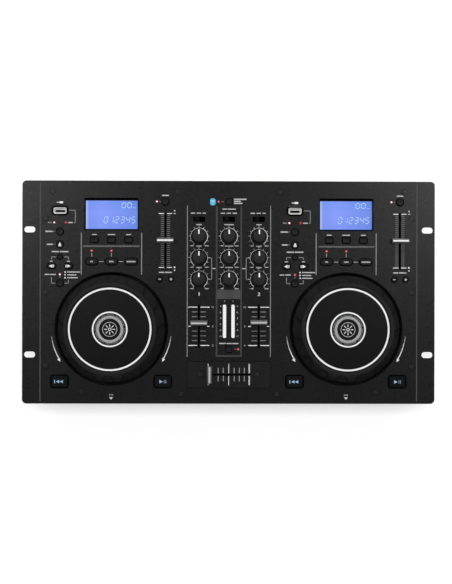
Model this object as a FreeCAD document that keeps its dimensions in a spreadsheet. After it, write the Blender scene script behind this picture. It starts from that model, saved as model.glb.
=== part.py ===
"""A rack-width dual disc player with a two-channel mixer between its two decks.

A steel top panel with slotted rack ears closes a folded steel tub. Each deck has a jog
wheel on a bearing cradle, a display, a slot-loading disc drive, a pitch fader and its keys.
The mixer has nine knobs, two channel faders and a crossfader. Millimetres, +Z up, +Y to
the rear, origin on the floor under the middle of the top panel.
"""

import FreeCAD, Part
import math
import os
import re

import Sketcher

Vector = FreeCAD.Vector

SIZES = {
    # Top panel and its rack ears
    "panel_width": 482.6,
    "panel_depth": 260.6,
    "panel_thick": 2.0,
    "panel_corner": 5.0,
    "rack_inset": 8.75,
    "rack_pitch": 146.05,
    "rack_slot_length": 13.0,
    "rack_slot_width": 7.0,
    # Folded tub under the panel
    "foot_height": 8.0,
    "foot_radius": 9.5,
    "foot_taper": 1.5,
    "foot_side": 195.0,
    "foot_front": 100.0,
    "foot_rear": 95.0,
    "tub_height": 80.0,
    "tub_width": 439.0,
    "tub_front": 126.5,
    "tub_rear": 122.3,
    "tub_corner": 2.0,
    "sheet_thick": 1.2,
    "front_flange": 12.5,
    "rear_flange": 9.0,
    "tab_width": 14.0,
    "tab_depth": 12.0,
    "tab_back": 86.5,
    "vent_length": 26.0,
    "vent_height": 3.0,
    "vent_pitch": 34.0,
    "vent_lift": 52.0,
    "vent_row_pitch": 7.5,
    # Decks
    "deck_offset": 137.3,
    "jog_setback": 42.8,
    "jog_radius": 62.5,
    "jog_gap": 2.5,
    "jog_height": 18.4,
    "jog_skirt": 7.0,
    "jog_wall": 2.5,
    "jog_roll": 1.6,
    "jog_shoulder": 3.0,
    "jog_crown": 53.2,
    "rim_inset": 2.3,
    "rim_drop": 4.3,
    "jog_hub": 9.0,
    "plate_radius": 49.1,
    "plate_thick": 1.4,
    "plate_inset": 0.4,
    "plate_gap": 0.2,
    "scoop_radius": 16.0,
    "scoop_reach": 11.0,
    "scoop_depth": 2.6,
    "scoop_count": 16,
    "jog_shaft_radius": 4.0,
    "jog_shaft_length": 14.0,
    "bearing_gap": 0.1,
    "thrust_gap": 0.3,
    "cradle_radius": 69.0,
    "cradle_wall": 2.0,
    "cradle_depth": 16.0,
    "boss_drop": 6.0,
    # Display
    "window_length": 64.0,
    "window_width": 37.0,
    "window_back": 90.5,
    "lens_margin": 2.0,
    "lens_thick": 2.0,
    # Keys: outlines
    "key_gap": 0.5,
    "key_rise": 1.6,
    "key_edge": 0.5,
    "key_rest_gap": 0.2,
    "key_flange_thick": 1.2,
    "key_flange_lip": 1.0,
    "key_stem": 1.2,
    "key_stem_side": 3.0,
    "round_key_radius": 4.6,
    "small_key_radius": 3.4,
    "bend_key_radius": 3.6,
    "oval_key_length": 11.0,
    "oval_key_width": 7.4,
    "oval_key_corner": 3.6,
    "display_key_length": 10.0,
    "display_key_width": 7.6,
    "display_key_corner": 1.6,
    "loop_key_length": 15.6,
    "loop_key_width": 8.8,
    "loop_key_corner": 4.3,
    "pad_key_length": 20.6,
    "pad_key_width": 14.6,
    "pad_key_corner": 2.4,
    "square_key_side": 7.6,
    # Keys: places, across from the deck's middle and back from the panel's middle
    "side_column": 60.0,
    "select_back": 70.8,
    "eject_back": 55.7,
    "skip_back": 41.0,
    "track_back": 30.3,
    "track_pitch": 20.0,
    "mode_back": 10.3,
    "display_key_pitch": 20.0,
    "display_key_back": 61.0,
    "loop_key_pitch": 23.0,
    "loop_key_back": 35.7,
    "pad_key_side": 60.2,
    "pad_key_fore": 104.4,
    "pitch_column": 63.0,
    "tempo_back": 106.0,
    "bend_back": 15.3,
    "bend_pitch": 13.3,
    "wireless_back": 106.0,
    "relay_fore": 66.5,
    # Status lamps
    "lamp_radius": 1.5,
    "lamp_gap": 0.2,
    "lamp_rise": 0.7,
    "source_lamp_back": 81.2,
    "disc_lamp_side": 66.7,
    "stick_lamp_side": 53.4,
    "mode_lamp_back": 20.6,
    "loop_lamp_back": 48.3,
    "tempo_lamp_side": 52.9,
    "wireless_lamp_side": 12.3,
    "relay_lamp_side": 11.0,
    # Stick socket
    "socket_back": 95.2,
    "socket_length": 13.2,
    "socket_width": 5.8,
    "socket_wall": 0.4,
    "socket_lip": 0.8,
    "socket_rise": 0.4,
    "tongue_length": 11.0,
    "tongue_width": 1.8,
    "socket_hole_length": 19.4,
    "socket_hole_width": 10.8,
    "socket_hole_corner": 4.6,
    # Faders
    "fader_slot_width": 2.6,
    "fader_lever_width": 1.4,
    "fader_lever_length": 4.0,
    "fader_cap_length": 19.6,
    "fader_cap_width": 6.4,
    "fader_cap_top": 2.0,
    "fader_cap_height": 8.0,
    "fader_cap_ridge": 1.0,
    "fader_cap_lift": 1.0,
    "fader_lever_drop": 6.0,
    "fader_end_gap": 1.5,
    "track_width": 9.0,
    "track_height": 8.0,
    "track_floor": 1.0,
    "track_end": 3.5,
    "pitch_travel": 60.0,
    "pitch_middle": 60.5,
    "channel_travel": 45.0,
    "channel_middle": 39.7,
    "channel_left_rest": 36.0,
    "channel_right_rest": 35.2,
    "cross_travel": 45.0,
    "cross_fore": 96.2,
    "cross_rest": 22.5,
    "cross_plate_length": 97.0,
    "cross_plate_width": 30.0,
    "cross_plate_thick": 0.8,
    "cross_plate_corner": 1.5,
    "cross_hole_gap": 0.5,
    # Knobs
    "strip_offset": 35.0,
    "knob_back": 65.3,
    "knob_pitch": 25.05,
    "knob_radius": 8.2,
    "knob_height": 14.0,
    "knob_lift": 0.8,
    "knob_bevel": 1.2,
    "pointer_width": 1.4,
    "pointer_start": 2.0,
    "pointer_depth": 0.5,
    "knob_shaft_radius": 3.0,
    "knob_shaft_gap": 0.5,
    "pot_side": 11.0,
    "pot_height": 5.0,
    "pot_gap": 0.2,
    # Slide switches
    "switch_back": 85.6,
    "switch_slot_length": 14.4,
    "switch_slot_width": 6.6,
    "switch_nub_length": 6.4,
    "switch_nub_width": 5.6,
    "switch_nub_rise": 2.2,
    "switch_rest": 2.6,
    "switch_body_length": 22.0,
    "switch_body_width": 8.0,
    "switch_body_height": 5.0,
    "switch_running_gap": 0.3,
    # Level meters
    "meter_side": 5.0,
    "meter_back_end": 14.5,
    "meter_fore_end": 53.3,
    "meter_width": 4.2,
    "meter_gap": 0.15,
    "meter_rise": 0.15,
    # Circuit boards
    "board_drop": 9.0,
    "board_thick": 1.6,
    "board_back": 112.0,
    "deck_board_fore": 119.0,
    "deck_board_outer": 70.0,
    "deck_board_inner": 75.0,
    "mixer_board_fore": 78.0,
    "mixer_board_side": 56.0,
    "cradle_clearance": 2.0,
    "spacer_radius": 2.8,
    "spacer_side": 43.0,
    "spacer_back": 108.0,
    "spacer_fore": 108.0,
    "mixer_spacer_side": 52.0,
    "mixer_spacer_fore": 74.0,
    "tact_side": 6.0,
    "tact_height": 3.5,
    "tact_plunger_side": 2.8,
    "tact_plunger_height": 1.5,
    # Disc drives and their slots
    "slot_height": 6.0,
    "slot_length": 124.0,
    "slot_lift": 40.0,
    "drive_width": 146.0,
    "drive_depth": 170.0,
    "drive_height": 20.0,
    "drive_corner": 3.0,
    "disc_depth": 134.0,
    "leg_width": 10.0,
    "leg_side": 60.0,
    "leg_inset": 20.0,
    "bezel_length": 140.0,
    "bezel_height": 15.0,
    "bezel_thick": 2.5,
    "bezel_corner": 2.0,
    "sleeve_length": 130.0,
    "sleeve_height": 10.6,
    "sleeve_reach": 2.2,
    "lead_in": 1.2,
    # Front jacks
    "jack_side": 20.0,
    "jack_bore": 3.2,
    "jack_barrel": 4.8,
    "jack_nut": 7.0,
    "jack_nut_thick": 2.4,
    "jack_barrel_proud": 0.8,
    "jack_depth": 24.0,
    "jack_body_length": 20.0,
    "jack_body_side": 14.0,
    # Rear sockets
    "phono_middle": -26.0,
    "phono_pitch": 20.0,
    "phono_columns": 4,
    "phono_lift": 46.0,
    "phono_row_pitch": 15.0,
    "phono_barrel": 4.15,
    "phono_bore": 1.6,
    "phono_margin": 7.5,
    "phono_lip": 2.0,
    "phono_plate_thick": 1.4,
    "phono_reach": 7.8,
    "phono_body_depth": 10.0,
    "inlet_side": 172.0,
    "inlet_lift": 48.0,
    "inlet_length": 60.0,
    "inlet_height": 30.0,
    "inlet_plate_thick": 2.0,
    "inlet_body_length": 54.0,
    "inlet_body_height": 24.0,
    "inlet_body_depth": 22.0,
    "plug_length": 24.0,
    "plug_height": 16.4,
    "plug_depth": 16.0,
    "plug_shift": 13.0,
    "blade_width": 4.0,
    "blade_thick": 2.0,
    "blade_reach": 11.0,
    "blade_spread": 7.0,
    "blade_drop": 2.0,
    "rocker_shift": 17.0,
    "rocker_width": 12.0,
    "rocker_height": 19.0,
    "rocker_proud": 4.0,
    "rocker_valley": 1.5,
    "rocker_depth": 5.0,
    "rocker_pivot": 2.5,
    "rocker_tilt": 7.0,
    "rocker_gap": 0.8,
    "well_depth": 14.0,
    "wall_gap": 0.2,
    "cut_margin": 1.0,
}

PANEL_UNDER = "(foot_height + tub_height)"
PANEL_TOP = "(foot_height + tub_height + panel_thick)"
FLOOR = "(foot_height + sheet_thick)"
BOARD_TOP = f"({PANEL_UNDER} - board_drop)"
REST_PLANE = f"({PANEL_UNDER} - key_rest_gap)"
DECKS = {"left": "-deck_offset", "right": "deck_offset"}
COLUMNS = {"left": "-strip_offset", "middle": "0", "right": "strip_offset"}
PHONO_LENGTH = "((phono_columns - 1)*phono_pitch + 2*phono_margin)"
PHONO_HEIGHT = "(phono_row_pitch + 2*phono_margin)"
SLEEVE_END = "(-tub_front + sleeve_reach)"
ALONG_Y = FreeCAD.Rotation(Vector(1, 0, 0), -90)
TOUCH = 1e-4

doc = FreeCAD.newDocument("DualDiscPlayer")
sheet = doc.addObject("Spreadsheet::Sheet", "Sizes")
for row, (alias, number) in enumerate(SIZES.items(), start=1):
    sheet.set(f"A{row}", alias)
    sheet.set(f"B{row}", str(number))
    sheet.setAlias(f"B{row}", alias)
doc.recompute()
subparts = []


# Sheet and placement helpers


def size(alias):
    """The number that the sheet holds under an alias."""
    return float(sheet.get(alias))


def bind(made, path, text):
    """Ties a property to a formula whose words are the sheet's aliases."""
    made.setExpression(path, re.sub(r"[a-z_]+", lambda word: f"Sizes.{word[0]}", text))


def place(made, x="0", y="0", z="0"):
    """Ties an object's base point to three formulas."""
    for axis, text in zip("xyz", (x, y, z)):
        bind(made, f"Placement.Base.{axis}", text)
    return made


def subpart(made, label):
    """Marks an object as a piece of the product under its own label."""
    made.Label = label
    subparts.append(made)
    return made


# Primitives and booleans


def box(x, y, z):
    """A block between a low and a high formula on each axis."""
    made = doc.addObject("Part::Box", "Block")
    for name, (low, high) in zip(("Length", "Width", "Height"), (x, y, z)):
        bind(made, name, f"({high}) - ({low})")
    return place(made, x[0], y[0], z[0])


def around(middle, length):
    """The low and high formulas of a length centred on a middle."""
    return f"({middle}) - ({length})/2", f"({middle}) + ({length})/2"


def disc(x, y, z, radius):
    """An upright cylinder between two heights."""
    made = doc.addObject("Part::Cylinder", "Disc")
    bind(made, "Radius", radius)
    bind(made, "Height", f"({z[1]}) - ({z[0]})")
    return place(made, x, y, z[0])


def rod(x, y, z, radius):
    """A cylinder along Y between two formulas."""
    made = doc.addObject("Part::Cylinder", "Rod")
    bind(made, "Radius", radius)
    bind(made, "Height", f"({y[1]}) - ({y[0]})")
    made.Placement.Rotation = ALONG_Y
    return place(made, x, y[0], z)


def fuse(*pieces):
    """The union of touching pieces, with its flush faces merged."""
    made = doc.addObject("Part::MultiFuse", "Union")
    made.Shapes = list(pieces)
    made.Refine = True
    return made


def group(pieces):
    """Separate solids kept side by side."""
    made = doc.addObject("Part::Compound", "Group")
    made.Links = list(pieces)
    return made


def cut(base, *tools):
    """A base less its tools."""
    made = doc.addObject("Part::Cut", "Cut")
    made.Base = base
    made.Tool = tools[0] if len(tools) == 1 else group(tools)
    return made


def upright(edge):
    """Whether an edge is a straight vertical one."""
    bounds = edge.BoundBox
    return bounds.ZLength > TOUCH and max(bounds.XLength, bounds.YLength) < TOUCH


def along_depth(edge):
    """Whether an edge is a straight one along Y."""
    bounds = edge.BoundBox
    return bounds.YLength > TOUCH and max(bounds.XLength, bounds.ZLength) < TOUCH


def at_top(shape):
    """A test for edges that lie in a shape's highest plane."""
    top = shape.BoundBox.ZMax
    return lambda edge: abs(edge.BoundBox.ZMin - top) < TOUCH


def eased(kind, base, test, amount):
    """A base with a fillet or chamfer on the edges that pass a test."""
    made = doc.addObject(kind, "Eased")
    made.Base = base
    edges = enumerate(base.Shape.Edges, start=1)
    made.Edges = [(n, amount, amount) for n, edge in edges if test(edge)]
    return made


def filleted(base, test, radius):
    """A base with the edges that pass a test rounded to a radius in millimetres."""
    doc.recompute()
    return eased("Part::Fillet", base, test, radius)


def chamfered(base, tester, alias):
    """A base with a named bevel on the edges that a test of its shape picks."""
    doc.recompute()
    return eased("Part::Chamfer", base, tester(base.Shape), size(alias))


def stadium(x, y, z, length, width):
    """A block with half-round ends, lengthwise along X."""
    half = f"({length} - {width})/2"
    middle = box(around(x, f"2*{half}"), around(y, width), z)
    ends = [disc(f"({x}) {sign} {half}", y, z, f"{width}/2") for sign in "+-"]
    return fuse(middle, *ends)


# Sketches inside bodies


def new_body(label, x, y, z):
    """A body for one sub-part, placed by formulas."""
    return subpart(place(doc.addObject("PartDesign::Body", "Body"), x, y, z), label)


def origin_part(body, role):
    """One plane or axis of a body's own origin."""
    return next(item for item in body.Origin.OriginFeatures if item.Role == role)


def sketch_on(body, plane):
    """An empty sketch on one of a body's origin planes."""
    sketch = body.newObject("Sketcher::SketchObject", "Sketch")
    sketch.AttachmentSupport = (origin_part(body, plane), [""])
    sketch.MapMode = "FlatFace"
    return sketch


def draw_polygon(sketch, points):
    """A closed outline through points whose two coordinates are formulas."""
    last = len(points) - 1
    corners = [Vector(10 + n, 10 + n * n, 0) for n in range(len(points))]
    for n in range(len(points)):
        after = corners[0 if n == last else n + 1]
        sketch.addGeometry(Part.LineSegment(corners[n], after), False)
    for n in range(len(points)):
        sketch.addConstraint(Sketcher.Constraint("Coincident", n, 2, 0 if n == last else n + 1, 1))
    for n, pair in enumerate(points):
        for kind, text in zip(("DistanceX", "DistanceY"), pair):
            place_of = Sketcher.Constraint(kind, -1, 1, n, 1, 1.0)
            number = sketch.addConstraint(place_of)
            bind(sketch, f"Constraints[{number}]", text)


def draw_box(sketch, x, y):
    """A rectangle between a low and a high formula on each of the sketch's axes."""
    draw_polygon(sketch, [(x[0], y[0]), (x[1], y[0]), (x[1], y[1]), (x[0], y[1])])


def revolve(body, points):
    """A full turn of a profile of (radius, height) formulas about the body's Z axis."""
    sketch = sketch_on(body, "XZ_Plane")
    draw_polygon(sketch, points)
    turned = body.newObject("PartDesign::Revolution", "Turned")
    turned.Profile = sketch
    turned.ReferenceAxis = (sketch, ["V_Axis"])
    turned.Angle = 360
    doc.recompute()
    return turned


def repeat_round(body, feature, count):
    """A full circle of copies of a feature about the body's Z axis."""
    pattern = body.newObject("PartDesign::PolarPattern", "Ring")
    pattern.Originals = [feature]
    pattern.Axis = (origin_part(body, "Z_Axis"), [""])
    pattern.Angle = 360
    bind(pattern, "Occurrences", count)
    body.Tip = pattern
    return pattern


# Keys: the same outline makes a cap and the opening round it


ROUND = ("round_key_radius",)
SMALL = ("small_key_radius",)
BEND = ("bend_key_radius",)
SQUARE = ("square_key_side", "square_key_side")
OVAL = ("oval_key_length", "oval_key_width", "oval_key_corner")
DISPLAY = ("display_key_length", "display_key_width", "display_key_corner")
LOOP = ("loop_key_length", "loop_key_width", "loop_key_corner")
PAD = ("pad_key_length", "pad_key_width", "pad_key_corner")

DECK_KEYS = {
    "select_key": [("-side_column", "select_back", ROUND)],
    "eject_key": [("-side_column", "eject_back", ROUND)],
    "track_keys": [
        ("-side_column", "skip_back", SMALL),
        ("-side_column - track_pitch/2", "track_back", OVAL),
        ("-side_column + track_pitch/2", "track_back", OVAL),
    ],
    "jog_mode_key": [("-side_column", "mode_back", ROUND)],
    "display_keys": [(f"{n}*display_key_pitch", "display_key_back", DISPLAY) for n in (-1, 0, 1)],
    "loop_keys": [(f"{n}*loop_key_pitch", "loop_key_back", LOOP) for n in (-1, 0, 1)],
    "tempo_key": [("pitch_column", "tempo_back", ROUND)],
    "bend_keys": [(f"pitch_column {sign} bend_pitch/2", "bend_back", BEND) for sign in "-+"],
    "cue_key": [("-pad_key_side", "-pad_key_fore", PAD)],
    "play_key": [("pad_key_side", "-pad_key_fore", PAD)],
}
MIXER_KEYS = {
    "wireless_key": [("0", "wireless_back", SQUARE)],
    "fader_start_key": [("0", "-relay_fore", SQUARE)],
}


def outline_block(x, y, z, outline, grow=None):
    """A plan outline as a block, larger all round by a named clearance."""
    if len(outline) == 1:
        return disc(x, y, z, f"{outline[0]} + {grow}" if grow else outline[0])
    spread = f" + 2*{grow}" if grow else ""
    block = box(around(x, outline[0] + spread), around(y, outline[1] + spread), z)
    if len(outline) == 2:
        return block
    return filleted(block, upright, size(outline[2]) + (size(grow) if grow else 0))


def outline_size(outline):
    """The overall length and width of a plan outline."""
    return (f"2*{outline[0]}",) * 2 if len(outline) == 1 else outline[:2]


def key(label, deck, caps):
    """One key, or a strip of keys on a common web, with its flanges and switch stems."""
    flange = (f"{REST_PLANE} - key_flange_thick", REST_PLANE)
    stem = (f"{flange[0]} - key_stem", flange[0])
    pieces = []
    for x, y, outline in caps:
        across = f"{deck} + {x}"
        length, width = outline_size(outline)
        cap = outline_block(across, y, (flange[0], f"{PANEL_TOP} + key_rise"), outline)
        pieces.append(chamfered(cap, at_top, "key_edge"))
        pieces.append(box(around(across, "key_stem_side"), around(y, "key_stem_side"), stem))
        lip = " + 2*key_flange_lip"
        pieces.append(box(around(across, length + lip), around(y, width + lip), flange))
    for start, end in zip(caps, caps[1:]):
        pieces.append(web(deck, start, end, flange))
    return subpart(fuse(*pieces), label)


def web(deck, start, end, flange):
    """The strip of plastic that joins two neighbouring caps under the panel."""
    if start[1] == end[1]:
        along = (f"{deck} + {start[0]}", f"{deck} + {end[0]}")
        return box(along, around(start[1], "key_stem_side"), flange)
    x = (f"{deck} + {start[0]} - track_pitch/2", f"{deck} + {start[0]} + track_pitch/2")
    return box(x, around(f"({start[1]} + {end[1]})/2", "key_stem_side"), flange)


def all_caps():
    """Every cap's place and outline over both decks and the mixer."""
    found = [("0", *cap) for caps in MIXER_KEYS.values() for cap in caps]
    for deck in DECKS.values():
        found += [(deck, *cap) for caps in DECK_KEYS.values() for cap in caps]
    return found


# Places shared by several pieces


def lamp_places():
    """Where the status lamps stand."""
    found = [("-wireless_lamp_side", "wireless_back"), ("relay_lamp_side", "-relay_fore")]
    for deck in DECKS.values():
        found += [
            (f"{deck} - disc_lamp_side", "source_lamp_back"),
            (f"{deck} - stick_lamp_side", "source_lamp_back"),
            (f"{deck} - side_column", "mode_lamp_back"),
            (f"{deck} - loop_key_pitch", "loop_lamp_back"),
            (deck, "loop_lamp_back"),
            (f"{deck} + tempo_lamp_side", "tempo_back"),
        ]
    return found


KNOB_ROWS = {
    "left": ("gain_knob_left", "high_knob_left", "low_knob_left"),
    "middle": ("cue_volume_knob", "microphone_knob", "master_knob"),
    "right": ("gain_knob_right", "high_knob_right", "low_knob_right"),
}


def knob_places():
    """Each knob's name, place across and place back."""
    for column, names in KNOB_ROWS.items():
        for n, name in enumerate(names):
            yield name, COLUMNS[column], f"knob_back - {n}*knob_pitch"


# Each fader: its slot's middle, its travel, its rest shift along the travel and its direction
FADERS = {
    "pitch_fader_left": ("-deck_offset + pitch_column", "pitch_middle", "pitch_travel", "0", "y"),
    "pitch_fader_right": ("deck_offset + pitch_column", "pitch_middle", "pitch_travel", "0", "y"),
    "channel_fader_left": (
        "-strip_offset",
        "-channel_middle",
        "channel_travel",
        "channel_middle - channel_left_rest",
        "y",
    ),
    "channel_fader_right": (
        "strip_offset",
        "-channel_middle",
        "channel_travel",
        "channel_middle - channel_right_rest",
        "y",
    ),
    "crossfader": ("0", "-cross_fore", "cross_travel", "-cross_rest", "x"),
}


def fader_bar(fader, length, width, z):
    """A bar along a fader's travel."""
    x, y, direction = fader[0], fader[1], fader[4]
    if direction == "x":
        return box(around(x, length), around(y, width), z)
    return box(around(x, width), around(y, length), z)


def slot_length(fader):
    """How long the slot is that a fader's lever runs in."""
    return f"{fader[2]} + fader_lever_length + 2*fader_end_gap"


def track_length(fader):
    """How long a fader's slide pot is."""
    return f"{slot_length(fader)} + 2*track_end"


def phono_places():
    """Where the rear phono sockets stand: place across and height."""
    last = int(size("phono_columns")) - 1
    columns = [f"phono_middle + {n - last / 2}*phono_pitch" for n in range(last + 1)]
    return [(x, f"phono_lift {sign} phono_row_pitch/2") for x in columns for sign in "-+"]


# Panel and tub


def turned_edge(deck):
    """The cone that slopes the panel down into a jog wheel's opening."""
    tool = doc.addObject("Part::Cone", "Edge")
    bind(tool, "Radius1", "jog_radius + jog_gap")
    bind(tool, "Radius2", "jog_radius + jog_gap + jog_roll + cut_margin")
    bind(tool, "Height", "jog_roll + cut_margin")
    return place(tool, deck, "-jog_setback", f"{PANEL_TOP} - jog_roll")


def top_panel():
    """The steel top panel, with every opening cut from its own piece's outline."""
    through = (f"{PANEL_UNDER} - cut_margin", f"{PANEL_TOP} + cut_margin")
    plate = box(around("0", "panel_width"), around("0", "panel_depth"), (PANEL_UNDER, PANEL_TOP))
    plate = filleted(plate, upright, size("panel_corner"))
    tools = []
    for deck, x, y, outline in all_caps():
        tools.append(outline_block(f"{deck} + {x}", y, through, outline, "key_gap"))
    for x in around("0", "panel_width - 2*rack_inset"):
        for y in around("0", "rack_pitch"):
            tools.append(stadium(x, y, through, "rack_slot_length", "rack_slot_width"))
    for deck in DECKS.values():
        tools += [disc(deck, "-jog_setback", through, "jog_radius + jog_gap"), turned_edge(deck)]
        tools.append(outline_block(deck, "window_back", through, ("window_length", "window_width")))
        socket = ("socket_hole_length", "socket_hole_width", "socket_hole_corner")
        tools.append(outline_block(f"{deck} - side_column", "socket_back", through, socket))
    tools += [disc(x, y, through, "lamp_radius + lamp_gap") for x, y in lamp_places()]
    tools += [disc(x, y, through, "knob_shaft_radius + knob_shaft_gap") for _, x, y in knob_places()]
    for x in COLUMNS.values():
        switch = ("switch_slot_length", "switch_slot_width")
        tools.append(outline_block(x, "switch_back", through, switch))
    for name, fader in FADERS.items():
        if name == "crossfader":
            room = (f"{track_length(fader)} + 2*cross_hole_gap", "track_width + 2*cross_hole_gap")
        else:
            room = (slot_length(fader), "fader_slot_width")
        tools.append(fader_bar(fader, *room, through))
    meter = ("-meter_fore_end - meter_gap", "-meter_back_end + meter_gap")
    for x in ("-meter_side", "meter_side"):
        tools.append(box(around(x, "meter_width + 2*meter_gap"), meter, through))
    return subpart(cut(plate, *tools), "top_panel")


def tub_walls():
    """The tub's floor and four walls with flanges front and rear, and tabs at the sides."""
    x = around("0", "tub_width")
    y = ("-tub_front", "tub_rear")
    inner_x = around("0", "tub_width - 2*sheet_thick")
    inner_y = ("-tub_front + sheet_thick", "tub_rear - sheet_thick")
    mouth_y = ("-tub_front + front_flange", "tub_rear - rear_flange")
    under_flange = f"{PANEL_UNDER} - sheet_thick"
    shell = filleted(box(x, y, ("foot_height", PANEL_UNDER)), upright, size("tub_corner"))
    cavity = box(inner_x, inner_y, (FLOOR, under_flange))
    mouth = box(inner_x, mouth_y, (f"{under_flange} - cut_margin", f"{PANEL_UNDER} + cut_margin"))
    left = ("-tub_width/2", "-tub_width/2 + tab_depth")
    right = ("tub_width/2 - tab_depth", "tub_width/2")
    tabs = []
    for middle in ("-tab_back", "0", "tab_back"):
        for tab_x in (left, right):
            tabs.append(box(tab_x, around(middle, "tab_width"), (under_flange, PANEL_UNDER)))
    return fuse(cut(shell, cavity, mouth), *tabs)


def side_vents():
    """The cooling slots of both side walls, in three rows of five."""
    left = ("-tub_width/2 - cut_margin", "-tub_width/2 + sheet_thick + cut_margin")
    right = ("tub_width/2 - sheet_thick - cut_margin", "tub_width/2 + cut_margin")
    vents = []
    for n in (-2, -1, 0, 1, 2):
        for row in (-1, 0, 1):
            y = around(f"{n}*vent_pitch", "vent_length")
            z = around(f"vent_lift + {row}*vent_row_pitch", "vent_height")
            vents += [box(left, y, z), box(right, y, z)]
    return vents


def chassis_tub():
    """The folded steel tub with its openings for the slots, the jacks, the sockets and air."""
    front = ("-tub_front - cut_margin", "-tub_front + sheet_thick + cut_margin")
    rear = ("tub_rear - sheet_thick - cut_margin", "tub_rear + cut_margin")
    tools = side_vents()
    for deck in DECKS.values():
        x = around(deck, "sleeve_length + 2*wall_gap")
        tools.append(box(x, front, around("slot_lift", "sleeve_height + 2*wall_gap")))
    for x in ("-jack_side", "jack_side"):
        tools.append(rod(x, front, "slot_lift", "jack_barrel + wall_gap"))
    x = around("phono_middle", f"{PHONO_LENGTH} + 2*wall_gap")
    tools.append(box(x, rear, around("phono_lift", f"{PHONO_HEIGHT} + 2*wall_gap")))
    x = around("inlet_side", "inlet_body_length + 2*wall_gap")
    tools.append(box(x, rear, around("inlet_lift", "inlet_body_height + 2*wall_gap")))
    return subpart(cut(tub_walls(), *tools), "chassis_tub")


def crossfader_plate():
    """The plate that carries the crossfader, over its opening in the panel."""
    z = (PANEL_TOP, f"{PANEL_TOP} + cross_plate_thick")
    outline = ("cross_plate_length", "cross_plate_width", "cross_plate_corner")
    plate = outline_block("0", "-cross_fore", z, outline)
    fader = FADERS["crossfader"]
    through = (f"{z[0]} - cut_margin", f"{z[1]} + cut_margin")
    slot = fader_bar(fader, slot_length(fader), "fader_slot_width", through)
    return subpart(cut(plate, slot), "crossfader_plate")


def rubber_feet():
    """Four tapered rubber feet under the tub."""
    feet = []
    for x in ("-foot_side", "foot_side"):
        for y in ("-foot_front", "foot_rear"):
            foot = doc.addObject("Part::Cone", "Foot")
            bind(foot, "Radius1", "foot_radius - foot_taper")
            bind(foot, "Radius2", "foot_radius")
            bind(foot, "Height", "foot_height")
            feet.append(place(foot, x, y, "0"))
    return subpart(group(feet), "rubber_feet")


# Displays, lamps, meters and sockets of the panel


def display_windows():
    """The two clear windows, each held against the panel's underside."""
    x_size = "window_length + 2*lens_margin"
    y = around("window_back", "window_width + 2*lens_margin")
    z = (f"{PANEL_UNDER} - lens_thick", PANEL_UNDER)
    windows = [box(around(deck, x_size), y, z) for deck in DECKS.values()]
    return subpart(group(windows), "display_windows")


def display_modules():
    """The two display modules, each standing on its board under its window."""
    y = around("window_back", "window_width")
    z = (BOARD_TOP, f"{PANEL_UNDER} - lens_thick")
    modules = [box(around(deck, "window_length"), y, z) for deck in DECKS.values()]
    return subpart(group(modules), "display_modules")


def status_lamps():
    """The small round lamps, each standing on its board and through the panel."""
    z = (BOARD_TOP, f"{PANEL_TOP} + lamp_rise")
    lamps = [disc(x, y, z, "lamp_radius") for x, y in lamp_places()]
    return subpart(group(lamps), "status_lamps")


def level_meters():
    """The two lit bars of the level meter."""
    z = (BOARD_TOP, f"{PANEL_TOP} + meter_rise")
    y = ("-meter_fore_end", "-meter_back_end")
    bars = [box(around(x, "meter_width"), y, z) for x in ("-meter_side", "meter_side")]
    return subpart(group(bars), "level_meters")


def stick_socket(x):
    """An upright memory-stick socket: a lipped metal shell round a contact tongue."""
    y = "socket_back"
    top = f"{PANEL_TOP} + socket_rise"
    outside = ("socket_length", "socket_width")
    inside = [f"{length} - 2*socket_wall" for length in outside]
    rim = [f"{length} + 2*socket_lip" for length in outside]
    shell = outline_block(x, y, (BOARD_TOP, top), outside)
    lip = outline_block(x, y, (f"{top} - socket_wall", top), rim)
    cavity_z = (f"{BOARD_TOP} + socket_wall", f"{top} + cut_margin")
    cavity = outline_block(x, y, cavity_z, inside)
    tongue_z = (BOARD_TOP, f"{top} - socket_wall")
    tongue = outline_block(x, y, tongue_z, ("tongue_length", "tongue_width"))
    return fuse(cut(fuse(shell, lip), cavity), tongue)


def stick_sockets():
    """The two memory-stick sockets."""
    sockets = [stick_socket(f"{deck} - side_column") for deck in DECKS.values()]
    return subpart(group(sockets), "stick_sockets")


# Boards and what is soldered to them


def tact_switch(deck, x, y):
    """A switch body and its plunger under one cap."""
    across = f"{deck} + {x}"
    body_top = f"{BOARD_TOP} + tact_height"
    body = outline_block(across, y, (BOARD_TOP, body_top), ("tact_side", "tact_side"))
    plunger_z = (body_top, f"{body_top} + tact_plunger_height")
    sides = ("tact_plunger_side", "tact_plunger_side")
    return [body, outline_block(across, y, plunger_z, sides)]


def spacers(deck, side, ends):
    """The hexagonal posts that hold a board under the panel."""
    posts = []
    for sign in "-+":
        for y in ends:
            post = doc.addObject("Part::Prism", "Spacer")
            post.Polygon = 6
            bind(post, "Circumradius", "spacer_radius")
            bind(post, "Height", "board_drop")
            posts.append(place(post, f"{deck} {sign} {side}", y, BOARD_TOP))
    return posts


def deck_board(deck):
    """A deck's board, cut round the jog cradle, with the switches under its keys."""
    z = (f"{BOARD_TOP} - board_thick", BOARD_TOP)
    x = (f"{deck} - deck_board_outer", f"{deck} + deck_board_inner")
    plate = box(x, ("-deck_board_fore", "board_back"), z)
    through = (f"{z[0]} - cut_margin", f"{z[1]} + cut_margin")
    parts = [cut(plate, disc(deck, "-jog_setback", through, "cradle_radius + cradle_clearance"))]
    for caps in DECK_KEYS.values():
        for x, y, _ in caps:
            parts += tact_switch(deck, x, y)
    parts += spacers(deck, "spacer_side", ("spacer_back", "-spacer_fore"))
    return fuse(*parts)


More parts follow.
